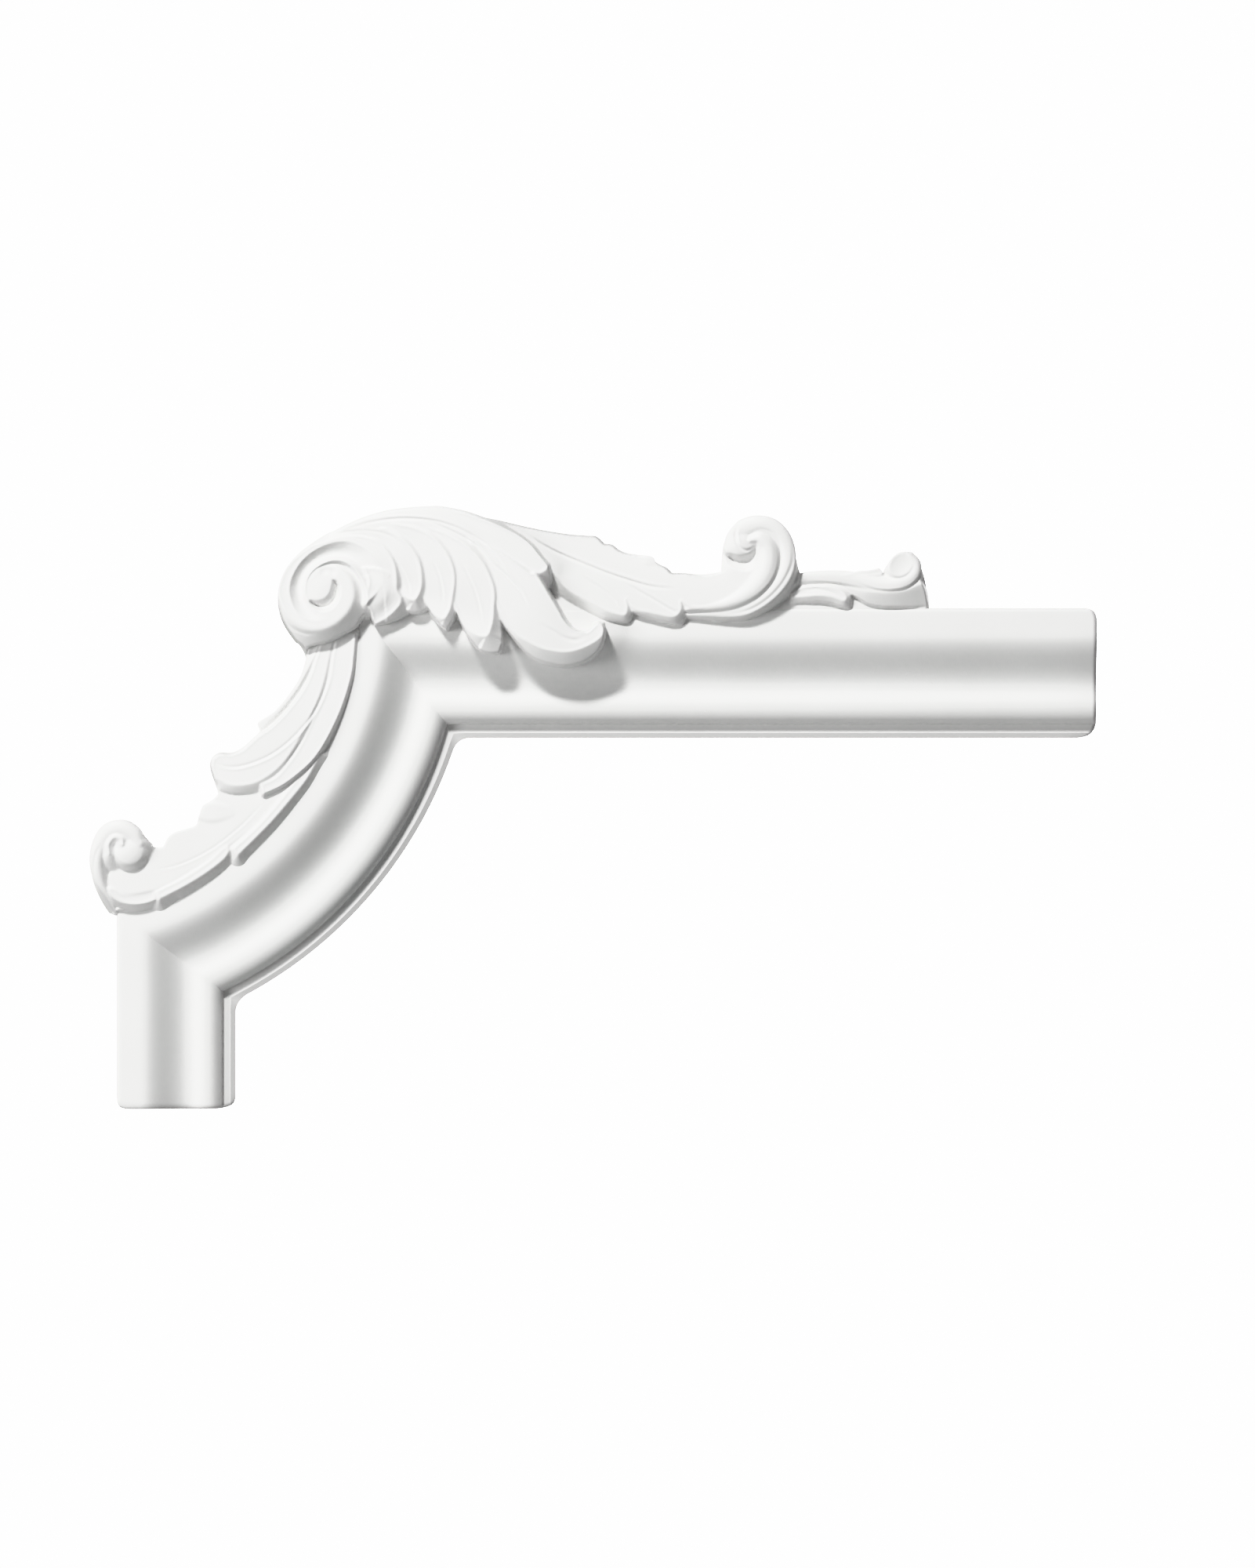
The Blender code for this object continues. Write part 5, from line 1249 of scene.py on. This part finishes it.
def cast_skin():
    """Shader group for the skin of the casting: faint cloudiness, fine grain and tiny pinholes."""
    tree = bpy.data.node_groups.new("cast skin", "ShaderNodeTree")
    for name in ("Cloud Size", "Grain Size", "Pinholes"):
        tree.interface.new_socket(name, in_out="INPUT", socket_type="NodeSocketFloat")
    for name in ("Cloud", "Grain", "Relief"):
        tree.interface.new_socket(name, in_out="OUTPUT", socket_type="NodeSocketFloat")
    inside = tree.nodes.new("NodeGroupInput")
    outside = tree.nodes.new("NodeGroupOutput")
    where = tree.nodes.new("ShaderNodeTexCoord").outputs["Object"]
    cloud = noise(tree, where, inside.outputs["Cloud Size"], 3.0)
    grain = noise(tree, where, inside.outputs["Grain Size"], 2.0)
    holes = tree.nodes.new("ShaderNodeTexVoronoi")
    holes.inputs["Scale"].default_value = HOLE_SCALE
    tree.links.new(where, holes.inputs["Vector"])
    pit = spread(tree, holes.outputs["Distance"], *HOLE_RANGE, -1.0, 0.0)
    pit = combine(tree, "MULTIPLY", pit, inside.outputs["Pinholes"])
    few = spread(tree, noise(tree, where, HOLE_PATCH_SCALE, 1.0), *HOLE_PATCH_RANGE)
    pit = combine(tree, "MULTIPLY", pit, few)
    fine = combine(tree, "MULTIPLY", grain, GRAIN_RELIEF)
    relief = combine(tree, "ADD", fine, pit)
    for socket, value in zip(outside.inputs, (cloud, grain, relief)):
        tree.links.new(value, socket)
    return tree


def finish_material(skin, name, light, dark, roughness, bump, pinholes, grain):
    """A cast finish: colour and roughness drift a little, and the skin's relief feeds the bump."""
    material = bpy.data.materials.new(name)
    material.use_nodes = True
    tree = material.node_tree
    shader = tree.nodes["Principled BSDF"]
    group = tree.nodes.new("ShaderNodeGroup")
    group.node_tree = skin
    for place, value in (("Cloud Size", CLOUD_SCALE), ("Grain Size", grain), ("Pinholes", pinholes)):
        group.inputs[place].default_value = value
    colour = tree.nodes.new("ShaderNodeMix")
    colour.data_type = "RGBA"
    colour.inputs["A"].default_value = (*dark, 1)
    colour.inputs["B"].default_value = (*light, 1)
    tree.links.new(spread(tree, group.outputs["Cloud"], *CLOUD_RANGE), colour.inputs["Factor"])
    tree.links.new(colour.outputs["Result"], shader.inputs["Base Color"])
    low, high = roughness - ROUGHNESS_DRIFT, roughness + ROUGHNESS_DRIFT
    rough = spread(tree, group.outputs["Grain"], *GRAIN_RANGE, low, high)
    tree.links.new(rough, shader.inputs["Roughness"])
    raised = tree.nodes.new("ShaderNodeBump")
    raised.inputs["Strength"].default_value = bump
    raised.inputs["Distance"].default_value = BUMP_DISTANCE
    tree.links.new(group.outputs["Relief"], raised.inputs["Height"])
    tree.links.new(raised.outputs["Normal"], shader.inputs["Normal"])
    return material


def studio():
    """Pale floor, surroundings that are white behind the piece, and soft lamps in front and behind."""
    floor_mesh = bpy.data.meshes.new("floor")
    turns = np.linspace(0, 2 * math.pi, FLOOR_SIDES, endpoint=False)
    rim = [(FLOOR_RADIUS * math.cos(turn), FLOOR_RADIUS * math.sin(turn), FLOOR_HEIGHT) for turn in turns]
    floor_mesh.from_pydata(rim, [], [list(range(FLOOR_SIDES))])
    floor = add_object("floor", floor_mesh)
    pale = bpy.data.materials.new("pale floor")
    pale.use_nodes = True
    shader = pale.node_tree.nodes["Principled BSDF"]
    shader.inputs["Base Color"].default_value = FLOOR_COLOUR
    shader.inputs["Roughness"].default_value = FLOOR_ROUGHNESS
    floor_mesh.materials.append(pale)

    world = bpy.data.worlds.new("studio")
    bpy.context.scene.world = world
    world.use_nodes = True
    tree = world.node_tree
    seen = tree.nodes.new("ShaderNodeLightPath").outputs["Is Camera Ray"]
    glow = spread(tree, seen, 0.0, 1.0, AMBIENT, BACKDROP)
    tree.links.new(glow, tree.nodes["Background"].inputs["Strength"])
    tree.nodes["Background"].inputs["Color"].default_value = (1, 1, 1, 1)

    for name, towards, distance, size, watts in LAMPS:
        lamp = bpy.data.lights.new(name, "AREA")
        lamp.shape = "DISK"
        lamp.size = size
        lamp.energy = watts
        item = add_object(name, lamp)
        direction = Vector(towards).normalized()
        item.location = Vector(LAMP_TARGET) + direction * distance
        item.rotation_euler = direction.to_track_quat("Z", "Y").to_euler()


def camera():
    data = bpy.data.cameras.new("camera")
    data.sensor_width = SENSOR_WIDTH
    data.lens = SENSOR_WIDTH * (CREST_Y - CAMERA_PLACE[1]) / FRAME_HEIGHT
    item = add_object("camera", data)
    item.location = CAMERA_PLACE
    item.rotation_euler = (math.pi / 2, 0, 0)
    bpy.context.scene.camera = item


def main():
    bpy.context.scene.view_settings.view_transform = "Khronos PBR Neutral"
    skin = cast_skin()
    white = finish_material(skin, *FRONT_FINISH)
    bare = finish_material(skin, *BACK_FINISH)
    upper = (upper_ground, long_leaf, sprig, right_scroll, drum, big_leaf, volute)
    lower = (lower_ground, lower_leaf, lower_scroll)
    pieces = [moulding(white, bare)]
    pieces.append(carving("upper_carving", UPPER_BOX, upper, UPPER_BACK, white, bare))
    pieces.append(carving("lower_carving", LOWER_BOX, lower, LOWER_BACK, white, bare))
    for piece in pieces:
        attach(piece, BODY)
        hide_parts(NODE)
    studio()
    camera()


main()
